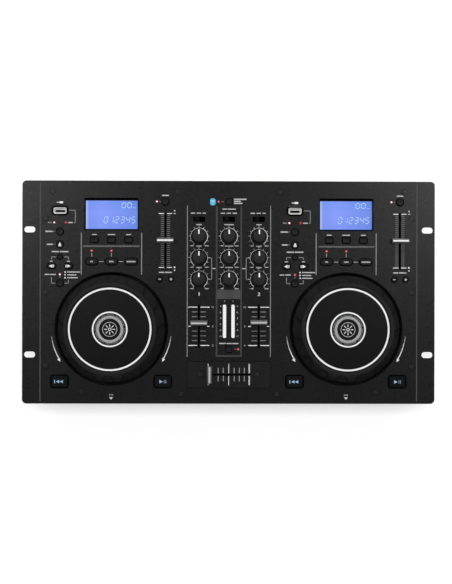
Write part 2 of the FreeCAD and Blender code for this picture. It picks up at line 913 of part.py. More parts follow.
def mixer_board():
    """The mixer's board, with its pots, slide switches and key switches."""
    z = (f"{BOARD_TOP} - board_thick", BOARD_TOP)
    parts = [box(around("0", "2*mixer_board_side"), ("-mixer_board_fore", "board_back"), z)]
    for caps in MIXER_KEYS.values():
        for x, y, _ in caps:
            parts += tact_switch("0", x, y)
    pot_z = (BOARD_TOP, f"{BOARD_TOP} + pot_height")
    for _, x, y in knob_places():
        parts.append(outline_block(x, y, pot_z, ("pot_side", "pot_side")))
    switch_z = (BOARD_TOP, f"{BOARD_TOP} + switch_body_height")
    for x in COLUMNS.values():
        body = ("switch_body_length", "switch_body_width")
        parts.append(outline_block(x, "switch_back", switch_z, body))
    parts += spacers("0", "mixer_spacer_side", ("spacer_back", "-mixer_spacer_fore"))
    return fuse(*parts)


def control_boards():
    """The two deck boards and the mixer board."""
    boards = [deck_board(deck) for deck in DECKS.values()]
    return subpart(group([*boards, mixer_board()]), "control_boards")


def fader_tracks():
    """The five slide pots' bodies, each with the groove its lever runs in."""
    tracks = []
    for name, fader in FADERS.items():
        top = PANEL_TOP if name == "crossfader" else f"{BOARD_TOP} + track_height"
        bottom = f"{top} - track_height"
        body = fader_bar(fader, track_length(fader), "track_width", (bottom, top))
        groove_z = (f"{bottom} + track_floor", f"{top} + cut_margin")
        groove = fader_bar(fader, slot_length(fader), "fader_slot_width", groove_z)
        tracks.append(cut(body, groove))
    return subpart(group(tracks), "fader_tracks")


# Jog wheels and their cradles


def jog_cradles():
    """The two round cradles under the panel, each with the bearing its jog wheel turns in."""
    bore = "jog_shaft_radius + bearing_gap"
    floor_top = "cradle_wall - cradle_depth"
    boss_top = "panel_thick - jog_skirt - thrust_gap"
    boss_end = "-cradle_depth - boss_drop"
    inner = "cradle_radius - cradle_wall"
    profile = [
        (bore, boss_end),
        ("jog_hub", boss_end),
        ("jog_hub", "-cradle_depth"),
        ("cradle_radius", "-cradle_depth"),
        ("cradle_radius", "0"),
        (inner, "0"),
        (inner, floor_top),
        ("jog_hub", floor_top),
        ("jog_hub", boss_top),
        (bore, boss_top),
    ]
    cradles = []
    for deck in DECKS.values():
        cradle = doc.addObject("PartDesign::Body", "Cradle")
        place(cradle, deck, "-jog_setback", PANEL_UNDER)
        revolve(cradle, profile)
        cradles.append(cradle)
    return subpart(group(cradles), "jog_cradles")


def wheel_profile():
    """Half the section of a jog wheel: shaft, hub, lid, sloping rim and skirt."""
    seat = "jog_height - plate_inset - plate_thick"
    lid = f"{seat} - jog_wall"
    recess = "plate_radius + plate_gap"
    rim_inside = "jog_radius - jog_wall"
    shaft_end = "-jog_skirt - jog_shaft_length"
    return [
        ("0", shaft_end),
        ("jog_shaft_radius", shaft_end),
        ("jog_shaft_radius", "-jog_skirt"),
        ("jog_hub", "-jog_skirt"),
        ("jog_hub", lid),
        ("jog_crown - rim_inset", lid),
        (rim_inside, "jog_shoulder - rim_drop"),
        (rim_inside, "-jog_skirt"),
        ("jog_radius", "-jog_skirt"),
        ("jog_radius", "jog_shoulder"),
        ("jog_crown", "jog_height"),
        (recess, "jog_height"),
        (recess, seat),
        ("0", seat),
    ]


def scoop(wheel):
    """One finger scoop: a ball sunk into the wheel's sloping rim and open at its lower edge."""
    run = size("jog_radius") - size("jog_crown")
    drop = size("jog_height") - size("jog_shoulder")
    slope = math.atan2(drop, run)
    down = Vector(math.cos(slope), 0, -math.sin(slope))
    out = Vector(math.sin(slope), 0, math.cos(slope))
    deepest = Vector(size("jog_crown"), 0, size("jog_height")) + down * size("scoop_reach")
    tool = wheel.newObject("PartDesign::SubtractiveSphere", "Scoop")
    bind(tool, "Radius", "scoop_radius")
    tool.Placement.Base = deepest + out * (size("scoop_radius") - size("scoop_depth"))
    doc.recompute()
    return tool


def jog_wheel(side, deck):
    """A jog wheel: a scooped rim on a shaft, with a touch plate let into its top."""
    wheel = doc.addObject("PartDesign::Body", "Wheel")
    place(wheel, deck, "-jog_setback", PANEL_TOP)
    revolve(wheel, wheel_profile())
    repeat_round(wheel, scoop(wheel), "scoop_count")
    top = f"{PANEL_TOP} + jog_height - plate_inset"
    plate = disc(deck, "-jog_setback", (f"{top} - plate_thick", top), "plate_radius")
    return subpart(group([wheel, plate]), f"jog_wheel_{side}")


# Knobs, fader caps and switch levers


def knob(label, x, y):
    """A knob with a bevelled top and a pointer groove, on its pot's shaft."""
    body = new_body(label, x, y, PANEL_TOP)
    shaft_end = "pot_height + pot_gap - board_drop - panel_thick"
    profile = [
        ("0", shaft_end),
        ("knob_shaft_radius", shaft_end),
        ("knob_shaft_radius", "knob_lift"),
        ("knob_radius", "knob_lift"),
        ("knob_radius", "knob_height - knob_bevel"),
        ("knob_radius - knob_bevel", "knob_height"),
        ("0", "knob_height"),
    ]
    revolve(body, profile)
    pointer = sketch_on(body, "XY_Plane")
    bind(pointer, "AttachmentOffset.Base.z", "knob_height - pointer_depth")
    draw_box(pointer, around("0", "pointer_width"), ("pointer_start", "knob_radius"))
    groove = body.newObject("PartDesign::Pocket", "Pointer")
    groove.Profile = pointer
    groove.Reversed = True
    bind(groove, "Length", "2*pointer_depth")
    doc.recompute()
    return body


def fader_cap(label, fader):
    """A ridged fader cap on the lever that passes through its slot."""
    x, y, _, shift, direction = fader
    if direction == "x":
        body = new_body(label, f"{x} + {shift}", y, PANEL_TOP)
        body.Placement.Rotation = FreeCAD.Rotation(Vector(0, 0, 1), -90)
        bottom = "fader_cap_lift + cross_plate_thick"
    else:
        body = new_body(label, x, f"{y} + {shift}", PANEL_TOP)
        bottom = "fader_cap_lift"
    side = "fader_cap_width/2"
    shelf = f"{bottom} + fader_cap_height - fader_cap_ridge"
    ridge = f"{shelf} + fader_cap_ridge"
    right = [
        (side, bottom),
        (side, f"{bottom} + fader_cap_ridge"),
        ("fader_cap_top", shelf),
        ("fader_cap_top/2", shelf),
        ("fader_cap_top/3", ridge),
    ]
    left = [(f"-{across}", up) for across, up in reversed(right)]
    end = sketch_on(body, "YZ_Plane")
    draw_polygon(end, right + left)
    cap = body.newObject("PartDesign::Pad", "Cap")
    cap.Profile = end
    cap.Midplane = True
    bind(cap, "Length", "fader_cap_length")
    blade = sketch_on(body, "XY_Plane")
    bind(blade, "AttachmentOffset.Base.z", f"{bottom} + fader_cap_ridge")
    draw_box(blade, around("0", "fader_lever_width"), around("0", "fader_lever_length"))
    lever = body.newObject("PartDesign::Pad", "Lever")
    lever.Profile = blade
    lever.Reversed = True
    bind(lever, "Length", f"{bottom} + fader_cap_ridge + fader_lever_drop")
    doc.recompute()
    return body


def switch_lever(column, x):
    """The nub of a slide switch, resting at the left end of its travel."""
    bottom = f"{BOARD_TOP} + switch_body_height + switch_running_gap"
    z = (bottom, f"{PANEL_TOP} + switch_nub_rise")
    outline = ("switch_nub_length", "switch_nub_width")
    nub = outline_block(f"{x} - switch_rest", "switch_back", z, outline)
    return subpart(chamfered(nub, at_top, "key_edge"), f"source_switch_{column}")


# Disc drives and the front of the tub


def disc_drives():
    """The two slot-loading drives, open at the front for a disc, on legs on the tub's floor."""
    y = (SLEEVE_END, f"{SLEEVE_END} + drive_depth")
    z = around("slot_lift", "drive_height")
    legs_y = (f"{y[0]} + leg_inset", f"{y[1]} - leg_inset")
    drives = []
    for deck in DECKS.values():
        case = filleted(box(around(deck, "drive_width"), y, z), upright, size("drive_corner"))
        room_y = (f"{y[0]} - cut_margin", f"{y[0]} + disc_depth")
        room = box(around(deck, "slot_length"), room_y, around("slot_lift", "slot_height"))
        legs = [
            outline_block(f"{deck} {sign} leg_side", leg_y, (FLOOR, z[0]), ("leg_width", "leg_width"))
            for sign in "-+"
            for leg_y in legs_y
        ]
        drives.append(fuse(cut(case, room), *legs))
    return subpart(group(drives), "disc_drives")


def slot_bezels():
    """The two slot bezels on the front wall, each with a sleeve back to its drive."""
    bezels = []
    face_y = ("-tub_front - bezel_thick", "-tub_front")
    for deck in DECKS.values():
        face = box(around(deck, "bezel_length"), face_y, around("slot_lift", "bezel_height"))
        face = filleted(face, along_depth, size("bezel_corner"))
        sleeve_y = ("-tub_front", SLEEVE_END)
        sleeve = box(around(deck, "sleeve_length"), sleeve_y, around("slot_lift", "sleeve_height"))
        slot_y = (f"{face_y[0]} - cut_margin", f"{SLEEVE_END} + cut_margin")
        slot = box(around(deck, "slot_length"), slot_y, around("slot_lift", "slot_height"))
        bezels.append(chamfered(cut(fuse(face, sleeve), slot), at_mouth, "lead_in"))
    return subpart(group(bezels), "slot_bezels")


def at_mouth(shape):
    """A test for the slot's own edges on a bezel's front face."""
    front = shape.BoundBox.YMin
    middle = shape.BoundBox.Center

    def test(edge):
        bounds = edge.BoundBox
        on_face = abs(bounds.YMax - front) < TOUCH
        across = abs(bounds.Center.x - middle.x) < size("slot_length") / 2 + TOUCH
        high = abs(bounds.Center.z - middle.z) < size("slot_height") / 2 + TOUCH
        return on_face and across and high

    return test


def front_jacks():
    """The headphone and microphone jacks, each held to the front wall by its hexagonal nut."""
    wall_in = "-tub_front + sheet_thick"
    face = "-tub_front - jack_nut_thick"
    jacks = []
    for x in ("-jack_side", "jack_side"):
        nut = doc.addObject("Part::Prism", "Nut")
        nut.Polygon = 6
        bind(nut, "Circumradius", "jack_nut")
        bind(nut, "Height", "jack_nut_thick")
        nut.Placement.Rotation = ALONG_Y
        place(nut, x, face, "slot_lift")
        barrel = rod(x, (f"{face} - jack_barrel_proud", wall_in), "slot_lift", "jack_barrel")
        body_y = (wall_in, f"{wall_in} + jack_body_length")
        body = box(around(x, "jack_body_side"), body_y, around("slot_lift", "jack_body_side"))
        bore_y = (f"{face} - jack_barrel_proud - cut_margin", f"{face} + jack_depth")
        jacks.append(cut(fuse(nut, barrel, body), rod(x, bore_y, "slot_lift", "jack_bore")))
    return subpart(group(jacks), "front_jacks")


# Rear wall


def phono_sockets():
    """The rear phono sockets, in pairs one above the other on a common block."""
    plate_y = ("tub_rear", "tub_rear + phono_plate_thick")
    body_y = ("tub_rear - phono_body_depth", "tub_rear")
    lip = " + 2*phono_lip"
    plate = box(
        around("phono_middle", PHONO_LENGTH + lip), plate_y, around("phono_lift", PHONO_HEIGHT + lip)
    )
    body = box(around("phono_middle", PHONO_LENGTH), body_y, around("phono_lift", PHONO_HEIGHT))
    reach = "tub_rear + phono_reach"
    barrels = [rod(x, (plate_y[1], reach), z, "phono_barrel") for x, z in phono_places()]
    bores = [rod(x, (plate_y[0], f"{reach} + cut_margin"), z, "phono_bore") for x, z in phono_places()]
    return subpart(cut(fuse(plate, body, *barrels), *bores), "phono_sockets")


def mains_inlet():
    """The mains inlet with its three blades, and the well that the power rocker sits in."""
    face = "tub_rear + inlet_plate_thick"
    body_y = ("tub_rear - inlet_body_depth", "tub_rear")
    plate_z = around("inlet_lift", "inlet_height")
    plate = box(around("inlet_side", "inlet_length"), ("tub_rear", face), plate_z)
    plate = filleted(plate, along_depth, size("bezel_corner"))
    body_z = around("inlet_lift", "inlet_body_height")
    body = box(around("inlet_side", "inlet_body_length"), body_y, body_z)
    plug_x = "inlet_side - plug_shift"
    plug_y = (f"{face} - plug_depth", f"{face} + cut_margin")
    plug = box(around(plug_x, "plug_length"), plug_y, around("inlet_lift", "plug_height"))
    well_x = around("inlet_side + rocker_shift", "rocker_width + 2*rocker_gap")
    well_y = (f"{face} - well_depth", f"{face} + cut_margin")
    well = box(well_x, well_y, around("inlet_lift", "rocker_height + 2*rocker_gap"))
    blade_y = (f"{face} - plug_depth - cut_margin", f"{face} - plug_depth + blade_reach")
    blades = []
    for x, z in (("-blade_spread", "-blade_drop"), ("blade_spread", "-blade_drop"), ("0", "blade_drop")):
        blade_z = around(f"inlet_lift + {z}", "blade_width")
        blades.append(box(around(f"{plug_x} + {x}", "blade_thick"), blade_y, blade_z))
    return subpart(fuse(cut(fuse(plate, body), plug, well), *blades), "mains_inlet")


def power_rocker():
    """The power rocker: a shallow-vee key on a level pivot in its well, resting on one side."""
    pivot = "tub_rear + inlet_plate_thick - rocker_pivot"
    body = new_body("power_rocker", "inlet_side + rocker_shift", pivot, "inlet_lift")
    body.Placement.Rotation = FreeCAD.Rotation(Vector(1, 0, 0), size("rocker_tilt"))
    upper = [
        ("rocker_pivot + rocker_proud", "rocker_height/2"),
        ("0", "rocker_height/2"),
        ("-rocker_depth", "rocker_height/4"),
    ]
    lower = [(across, f"-{up}") for across, up in reversed(upper)]
    sketch = sketch_on(body, "YZ_Plane")
    draw_polygon(sketch, [("rocker_pivot + rocker_valley", "0"), *upper, *lower])
    pad = body.newObject("PartDesign::Pad", "Rocker")
    pad.Profile = sketch
    pad.Midplane = True
    bind(pad, "Length", "rocker_width")
    doc.recompute()
    return body


def build():
    """Makes every piece of the product."""
    top_panel()
    chassis_tub()
    crossfader_plate()
    rubber_feet()
    display_windows()
    display_modules()
    status_lamps()
    level_meters()
    stick_sockets()
    control_boards()
    fader_tracks()
    jog_cradles()
    disc_drives()
    slot_bezels()
    front_jacks()
    phono_sockets()
    mains_inlet()
    power_rocker()
    for side, deck in DECKS.items():
        jog_wheel(side, deck)
        for name, caps in DECK_KEYS.items():
            key(f"{name}_{side}", deck, caps)
    for name, caps in MIXER_KEYS.items():
        key(name, "0", caps)
    for name, x, y in knob_places():
        knob(name, x, y)
    for name, fader in FADERS.items():
        fader_cap(name, fader)
    for column, x in COLUMNS.items():
        switch_lever(column, x)


def check():
    """Stops the script if an object failed or a piece is not a valid solid."""
    for made in doc.Objects:
        if "Invalid" in made.State or "Error" in made.State:
            raise RuntimeError(f"{made.Name} ({made.Label}) failed: {made.State}")
    for made in subparts:
        if made.Shape.isNull() or not made.Shape.isValid() or not made.Shape.Solids:
            raise RuntimeError(f"{made.Label} is not a valid solid")


def write():
    """Writes each piece as its own STEP file."""
    os.makedirs("parts", exist_ok=True)
    for made in subparts:
        made.Shape.exportStep(f"parts/{made.Label}.step")


build()
doc.recompute()
check()
write()
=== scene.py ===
"""The looks of a dual disc player with mixer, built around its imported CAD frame."""

import math

import bpy
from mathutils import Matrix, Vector


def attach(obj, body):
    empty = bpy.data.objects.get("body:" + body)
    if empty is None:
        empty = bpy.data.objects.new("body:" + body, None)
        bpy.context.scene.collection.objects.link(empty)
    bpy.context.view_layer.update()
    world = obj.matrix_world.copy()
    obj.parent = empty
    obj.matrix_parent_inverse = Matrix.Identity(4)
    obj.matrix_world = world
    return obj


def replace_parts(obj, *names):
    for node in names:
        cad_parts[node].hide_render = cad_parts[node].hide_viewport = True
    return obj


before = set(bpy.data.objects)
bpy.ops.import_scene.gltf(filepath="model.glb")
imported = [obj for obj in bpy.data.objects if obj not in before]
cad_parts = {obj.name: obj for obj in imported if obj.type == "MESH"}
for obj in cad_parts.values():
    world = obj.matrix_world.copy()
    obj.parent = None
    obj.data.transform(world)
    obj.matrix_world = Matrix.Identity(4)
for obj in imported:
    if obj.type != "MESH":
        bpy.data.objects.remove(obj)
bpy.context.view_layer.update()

# All places and sizes below are in millimetres, and are scaled when a mesh is made.
MM = 0.001
PANEL = 90.0
PLATE = 90.8
KEY_TOP = 91.6
BOARD_TOP = 79.02
INK = 0.05
DECKS = {"left": -137.3, "right": 137.3}
COLUMNS = {"left": -35.0, "middle": 0.0, "right": 35.0}
KNOB_ROWS = (65.3, 40.25, 15.2)
SWITCH_Y = 85.6
JOG_Y = -42.8
CROSSFADER_Y = -96.2
FULL_TURN = 2 * math.pi
FINISHES = {}


# Outlines


def polar(x, y, radius, turn):
    """The point at a distance and an angle from another one."""
    return (x + radius * math.cos(turn), y + radius * math.sin(turn))


def rounded(width, height, radius, x=0.0, y=0.0, steps=6):
    """A rectangle with round corners, anticlockwise, as a list of points."""
    radius = max(min(radius, width / 2, height / 2), 1e-4)
    right, top = width / 2 - radius, height / 2 - radius
    points = []
    for across, up, start in ((right, -top, -90), (right, top, 0), (-right, top, 90), (-right, -top, 180)):
        for step in range(steps + 1):
            points.append(polar(x + across, y + up, radius, math.radians(start + 90 * step / steps)))
    return points


def circle(radius, x=0.0, y=0.0, count=32):
    return [polar(x, y, radius, FULL_TURN * step / count) for step in range(count)]


def lifted(outline, z):
    return [(x, y, z) for x, y in outline]


def softened(profile, radius, steps=4):
    """A profile whose inner corners are rounded by up to that radius."""
    points = [profile[0]]
    for before, corner, after in zip(profile, profile[1:], profile[2:]):
        here = Vector(corner)
        back = Vector(before) - here
        ahead = Vector(after) - here
        reach = min(radius, back.length * 0.45, ahead.length * 0.45)
        start = here + back.normalized() * reach
        end = here + ahead.normalized() * reach
        for step in range(steps + 1):
            share = step / steps
            points.append(tuple(start.lerp(here, share).lerp(here.lerp(end, share), share)))
    points.append(profile[-1])
    return points


# Meshes


def band(low, high, count):
    """Quads between two rings of points that start at those two indices."""
    faces = []
    for index in range(count):
        after = (index + 1) % count
        faces.append([low + index, low + after, high + after, high + index])
    return faces


def placed(name, data):
    """A new object in the scene."""
    made = bpy.data.objects.new(name, data)
    bpy.context.scene.collection.objects.link(made)
    return made


class Shape:
    """Points and faces gathered in millimetres, and made into one object with its own origin at the end."""

    def __init__(self, origin=(0, 0, 0)):
        self.points = []
        self.faces = []
        self.origin = origin

    def add(self, points, faces):
        first = len(self.points)
        self.points += points
        self.faces += [[first + index for index in face] for face in faces]
        return self

    def loft(self, rings):
        """A closed skin through rings of points that all run anticlockwise seen from the last one."""
        count, last = len(rings[0]), len(rings) - 1
        faces = [list(reversed(range(count))), [last * count + index for index in range(count)]]
        for level in range(last):
            faces += band(level * count, (level + 1) * count, count)
        return self.add([tuple(point) for ring in rings for point in ring], faces)

    def prism(self, outline, low, high):
        return self.loft([lifted(outline, low), lifted(outline, high)])

    def block(self, x, y, z):
        """A box between pairs of limits."""
        return self.prism([(x[0], y[0]), (x[1], y[0]), (x[1], y[1]), (x[0], y[1])], *z)

    def frame(self, outer, inner, low, high):
        """A flat band between two outlines with the same number of points."""
        count = len(outer)
        faces = []
        for level in range(4):
            faces += band(level * count, (level + 1) % 4 * count, count)
        corners = ((outer, low), (outer, high), (inner, high), (inner, low))
        return self.add([point for outline, level in corners for point in lifted(outline, level)], faces)

    def lathe(self, profile, count=64, dent=None):
        """A profile of (radius, height) pairs turned about the origin, from bottom to top."""
        x, y, base = self.origin
        rings = []
        for radius, height in profile:
            ring = []
            for index in range(count):
                turn = FULL_TURN * index / count
                r, z = dent(radius, height, turn) if dent else (radius, height)
                ring.append((*polar(x, y, r, turn), base + z))
            rings.append(ring)
        return self.loft(rings)

    def turned(self, move):
        """The same shape with each point passed through a function."""
        self.points = [move(point) for point in self.points]
        return self

    def make(self, name, finish, body="console", slot=None, sharp=35):
        """The piece itself, in metres, with a named finish, riding on its body."""
        mesh = bpy.data.meshes.new(name)
        start = Vector(self.origin)
        mesh.from_pydata([(Vector(point) - start) * MM for point in self.points], [], self.faces)
        mesh.validate()
        for polygon in mesh.polygons:
            polygon.use_smooth = True
        mesh.set_sharp_from_angle(angle=math.radians(sharp))
        mesh.materials.append(FINISHES[finish])
        piece = placed(name, mesh)
        piece.location = start * MM
        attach(piece, body)
        return piece


def border(name, outer, inner, low, high, finish="shade_and_recess_black", body="console"):
    """A flat band between two rounded rectangles."""
    Shape().frame(rounded(*outer), rounded(*inner), low, high).make(name, finish, body)


def front_wall(point):
    """Stands a flat print upright on the front wall."""
    x, y, z = point
    return (x, -z, y)


def rear_wall(point):
    """Stands a flat print upright on the rear wall, to be read from behind."""
    x, y, z = point
    return (-x, z, y)


# Printing


def glyphs(text):
    """The flat mesh of a text in the built-in font, one unit high from its lower left, and its width."""
    curve = bpy.data.curves.new("glyphs", "FONT")
    curve.body = text
    curve.resolution_u = 3
    carrier = placed("glyphs", curve)
    bpy.context.view_layer.update()
    mesh = bpy.data.meshes.new_from_object(carrier)
    points = [(vertex.co.x, vertex.co.y) for vertex in mesh.vertices]
    faces = [list(polygon.vertices) for polygon in mesh.polygons]
    bpy.data.objects.remove(carrier)
    bpy.data.curves.remove(curve)
    bpy.data.meshes.remove(mesh)
    left, right = min(x for x, _ in points), max(x for x, _ in points)
    low, high = min(y for _, y in points), max(y for _, y in points)
    tall = high - low
    return [((x - left) / tall, (y - low) / tall) for x, y in points], faces, (right - left) / tall


class Print(Shape):
    """Flat printed marks, gathered as thin solids on one level; x counts from a place of the print's own."""

    def __init__(self, level=PANEL, start=0.0):
        super().__init__()
        self.low = level - INK / 2
        self.high = level + INK / 2
        self.start = start

    def add(self, points, faces):
        return super().add([(self.start + x, y, z) for x, y, z in points], faces)

    def slab(self, points, faces):
        """A flat mesh given its thickness."""
        count = len(points)
        edges = {(start, end): True for face in faces for start, end in zip(face, face[1:] + face[:1])}
        sides = [edge for edge in edges if (edge[1], edge[0]) not in edges]
        solid = [list(face) for face in faces]
        solid += [[count + index for index in reversed(face)] for face in faces]
        solid += [[count + start, count + end, end, start] for start, end in sides]
        self.add(lifted(points, self.high) + lifted(points, self.low), solid)

    def fill(self, outline):
        self.prism(outline, self.low, self.high)

    def bar(self, x0, y0, x1, y1):
        self.fill([(x0, y0), (x1, y0), (x1, y1), (x0, y1)])

    def bars(self, *limits):
        for corners in limits:
            self.bar(*corners)

    def post(self, x, half, *limits):
        """Bars of one half-width at one place across, each between two limits in depth."""
        for low, high in zip(limits[::2], limits[1::2]):
            self.bar(x - half, low, x + half, high)

    def line(self, points, width):
        """Straight runs of one width with square corners."""
        half = width / 2
        for (x0, y0), (x1, y1) in zip(points, points[1:]):
            self.bar(min(x0, x1) - half, min(y0, y1) - half, max(x0, x1) + half, max(y0, y1) + half)

    def spoke(self, x, y, angle, near, far, width):
        """A bar that points away from a centre, at an angle in degrees from straight back."""
        turn = math.radians(90 - angle)
        along = (math.cos(turn), math.sin(turn))
        across = (-along[1] * width / 2, along[0] * width / 2)
        self.fill([(x + reach * along[0] + side * across[0], y + reach * along[1] + side * across[1])
                   for reach, side in ((near, -1), (far, -1), (far, 1), (near, 1))])

    def ring(self, x, y, outer, inner, count=96):
        self.frame(circle(outer, x, y, count), circle(inner, x, y, count), self.low, self.high)

    def arc(self, x, y, radius, start, end, width, steps=40):
        """An arc between two angles in degrees from straight back; width is a function of 0 to 1."""
        outer, inner = [], []
        for step in range(steps + 1):
            share = step / steps
            turn = math.radians(90 - (start + (end - start) * share))
            half = width(share) / 2
            outer.append(polar(x, y, radius + half, turn))
            inner.append(polar(x, y, radius - half, turn))
        after = steps + 1
        faces = [[after + step, after + step + 1, step + 1, step] for step in range(steps)]
        # run anticlockwise, the faces would look down
        if end < start:
            faces = [face[::-1] for face in faces]
        self.slab(outer + inner, faces)

    def text(self, words, x, y, height, width=None):
        """A text centred on a point, drawn to a height and, if given, to a width."""
        points, faces, natural = glyphs(words)
        stretch = width / natural if width else height
        left = x - natural * stretch / 2
        self.slab([(left + across * stretch, y + (up - 0.5) * height) for across, up in points], faces)

    def triangle(self, x, y, size, way):
        """A triangle that points one way: up, down, left or right."""
        half = size / 2
        corners = {
            "up": ((-half, -half), (half, -half), (0, half)),
            "down": ((-half, half), (0, -half), (half, half)),
            "left": ((half, -half), (half, half), (-half, 0)),
            "right": ((-half, -half), (half, 0), (-half, half)),
        }[way]
        self.fill([(x + across, y + up) for across, up in corners])


# Materials


def grey(tone, blue=None):
    """A grey, whose blue part may be a little apart."""
    return (tone, tone, blue or tone)


class Finish:
    """A procedural material, listed in FINISHES by its name, and short calls for its usual parts."""

    def __init__(self, name, color, roughness, shine=0.5, **inputs):
        self.material = bpy.data.materials.new(name)
        self.material.use_nodes = True
        self.nodes = self.material.node_tree.nodes
        self.links = self.material.node_tree.links
        self.shader = self.nodes["Principled BSDF"]
        self.color = color
        self.bump = None
        self.place = self.node("ShaderNodeTexCoord")["Object"]
        inputs = {key.replace("_", " "): value for key, value in inputs.items()}
        inputs |= {"Base Color": (*color, 1), "Roughness": roughness, "Specular IOR Level": shine}
        self.feed(self.shader, inputs)
        FINISHES[name] = self.material

    def feed(self, node, inputs):
        """Gives inputs of a node their values, or the outputs of other nodes."""
        for key, value in inputs.items():
            if isinstance(value, bpy.types.NodeSocket):
                self.links.new(value, node.inputs[key])
            else:
                node.inputs[key].default_value = value
        return self

    def node(self, kind, inputs=None, **settings):
        """The outputs of a new node."""
        made = self.nodes.new(kind)
        for key, value in settings.items():
            setattr(made, key, value)
        self.feed(made, inputs or {})
        return made.outputs

    def math(self, operation, first, second):
        return self.node("ShaderNodeMath", {0: first, 1: second}, operation=operation)["Value"]

    def mix(self, share, first, second, **settings):
        inputs = {"Factor": share, "A": first, "B": second}
        return self.node("ShaderNodeMix", inputs, data_type="RGBA", **settings)["Result"]

    def noise(self, scale, detail=2.0, stretch=(1, 1, 1)):
        """Noise with features of about 1/scale metres."""
        place = self.node("ShaderNodeMapping", {"Vector": self.place, "Scale": stretch})["Vector"]
        return self.node("ShaderNodeTexNoise", {"Vector": place, "Scale": scale, "Detail": detail})["Fac"]

    def ramp(self, value, stops):
        made = self.nodes.new("ShaderNodeValToRGB")
        elements = made.color_ramp.elements
        while len(elements) < len(stops):
            elements.new(0.5)
        for element, (position, color) in zip(elements, stops):
            element.position = position
            element.color = (*color, 1)
        self.links.new(value, made.inputs["Fac"])
        return made.outputs["Color"]

    def spread(self, value, low, high, start=0.3, end=0.7):
        """A value mapped to another range from its own, which is the usual one of noise unless given."""
        inputs = {"Value": value, "From Min": start, "From Max": end, "To Min": low, "To Max": high}
        return self.node("ShaderNodeMapRange", inputs)["Result"]

    def paint(self, color):
        self.painted = color
        return self.feed(self.shader, {"Base Color": color})

    def mottle(self, low, high, *noise):
        """Colour that varies between two factors of the base colour."""
        shades = [tuple(part * factor for part in self.color) for factor in (low, high)]
        return self.paint(self.ramp(self.noise(*noise), [(0.3, shades[0]), (0.7, shades[1])]))

    def rough(self, low, high, *noise):
        return self.feed(self.shader, {"Roughness": self.spread(self.noise(*noise), low, high)})

    def worn(self, color, radius=0.0006, amount=0.8):
        """A lighter tone where the surface bends sharply, as on handled edges."""
        bevel = self.node("ShaderNodeBevel", {"Radius": radius}, samples=4)["Normal"]
        normal = self.node("ShaderNodeNewGeometry")["Normal"]
        across = self.node("ShaderNodeVectorMath", {0: bevel, 1: normal}, operation="DOT_PRODUCT")["Value"]
        edge = self.spread(across, 0.0, amount, 0.985, 0.8)
        return self.paint(self.mix(edge, self.painted, (*color, 1)))

    def grain(self, depth, *noise):
        return self.emboss(depth, self.noise(*noise))

    def emboss(self, depth, value):
        """Bump of that many millimetres from a value, on top of any before it."""
        under = {"Normal": self.bump} if self.bump else {}
        inputs = {"Strength": 1.0, "Distance": depth * MM, "Height": value, **under}
        self.bump = self.node("ShaderNodeBump", inputs)["Normal"]
        return self.feed(self.shader, {"Normal": self.bump})

    def glow(self, color):
        """Light given off, in the colour of a node's output."""
        return self.feed(self.shader, {"Emission Color": color, "Emission Strength": 1.0})


def enamel(name, tone, roughness, grain=0.02):
    """Powder coat: a fine orange-peel texture, slight mottling, and edges worn a little lighter."""
    made = Finish(name, tone, roughness, 0.2)
    made.mottle(0.86, 1.14, 45, 4)
    made.rough(roughness - 0.05, roughness + 0.05, 300, 3)
    made.worn(grey(0.05, 0.052))
    made.grain(grain, 2600, 3)


def moulded(name, tone, roughness, shine=0.2, scale=1500, grain=0.01, wear=None):
    """Moulded plastic: spark-eroded texture and faint handling marks in its gloss."""
    made = Finish(name, tone, roughness, shine)
    made.mottle(0.9, 1.1, 120, 3)
    made.rough(roughness - 0.06, roughness + 0.06, 90, 4)
    if wear:
        made.worn(wear, 0.0004, 0.5)
    made.grain(grain, scale, 3)


def brushed(name, tone, roughness, stretch=(1, 40, 40), grain=0.004):
    """Plated metal with fine lines along one axis."""
    made = Finish(name, tone, roughness, Metallic=1.0)
    made.mottle(0.9, 1.08, 25, 3)
    made.rough(roughness - 0.08, roughness + 0.1, 60, 4, stretch)
    made.grain(grain, 60, 4, stretch)


def ink(name, tone):
    """Screen-printed ink with slightly uneven cover."""
    made = Finish(name, tone, 0.55, 0.2)
    made.mottle(0.94, 1.04, 1800, 2)
    made.grain(0.006, 2400, 2)


def mesh_ink():
    """Grey ink in a fine dot pattern."""
    made = Finish("mesh_ink", grey(0.062, 0.063), 0.55, 0.2)
    inputs = {"Vector": made.place, "Scale": 900.0, "Randomness": 0.0}
    dots = made.node("ShaderNodeTexVoronoi", inputs, feature="F1")["Distance"]
    made.paint(made.ramp(dots, [(0.3, grey(0.030, 0.031)), (0.5, grey(0.095, 0.097))]))
    made.grain(0.006, 2400, 2)


def lamp_light(name, core, edge, reach):
    """A lamp lens with a hot middle that falls off to its rim."""
    made = Finish(name, edge, 0.25)
    flat = made.node("ShaderNodeVectorMath", {0: made.place, 1: (1, 1, 0)}, operation="MULTIPLY")["Vector"]
    far = made.node("ShaderNodeVectorMath", {0: flat}, operation="LENGTH")["Value"]
    color = made.ramp(made.math("DIVIDE", far, reach * MM), [(0.38, core), (0.68, edge)])
    made.paint(color).glow(color).grain(0.01, 900, 2)


def film_light(name, scale, spots, low, high, color, roughness):
    """Light through a film that is a little uneven."""
    made = Finish(name, color, roughness)
    made.glow(made.ramp(made.noise(scale, 2), [(spots, low), (1 - spots, high)]))


def board_laminate():
    """Green laminate up to its top face, and black moulded parts above it."""
    made = Finish("board_laminate", (0.01, 0.09, 0.035), 0.4)
    height = made.node("ShaderNodeSeparateXYZ", {"Vector": made.place})["Z"]
    above = made.math("GREATER_THAN", height, BOARD_TOP * MM)
    made.mottle(0.7, 1.2, 160, 3, (1, 1, 0.1))
    made.paint(made.mix(above, made.painted, (0.006, 0.006, 0.006, 1)))
    made.grain(0.01, 900, 2)


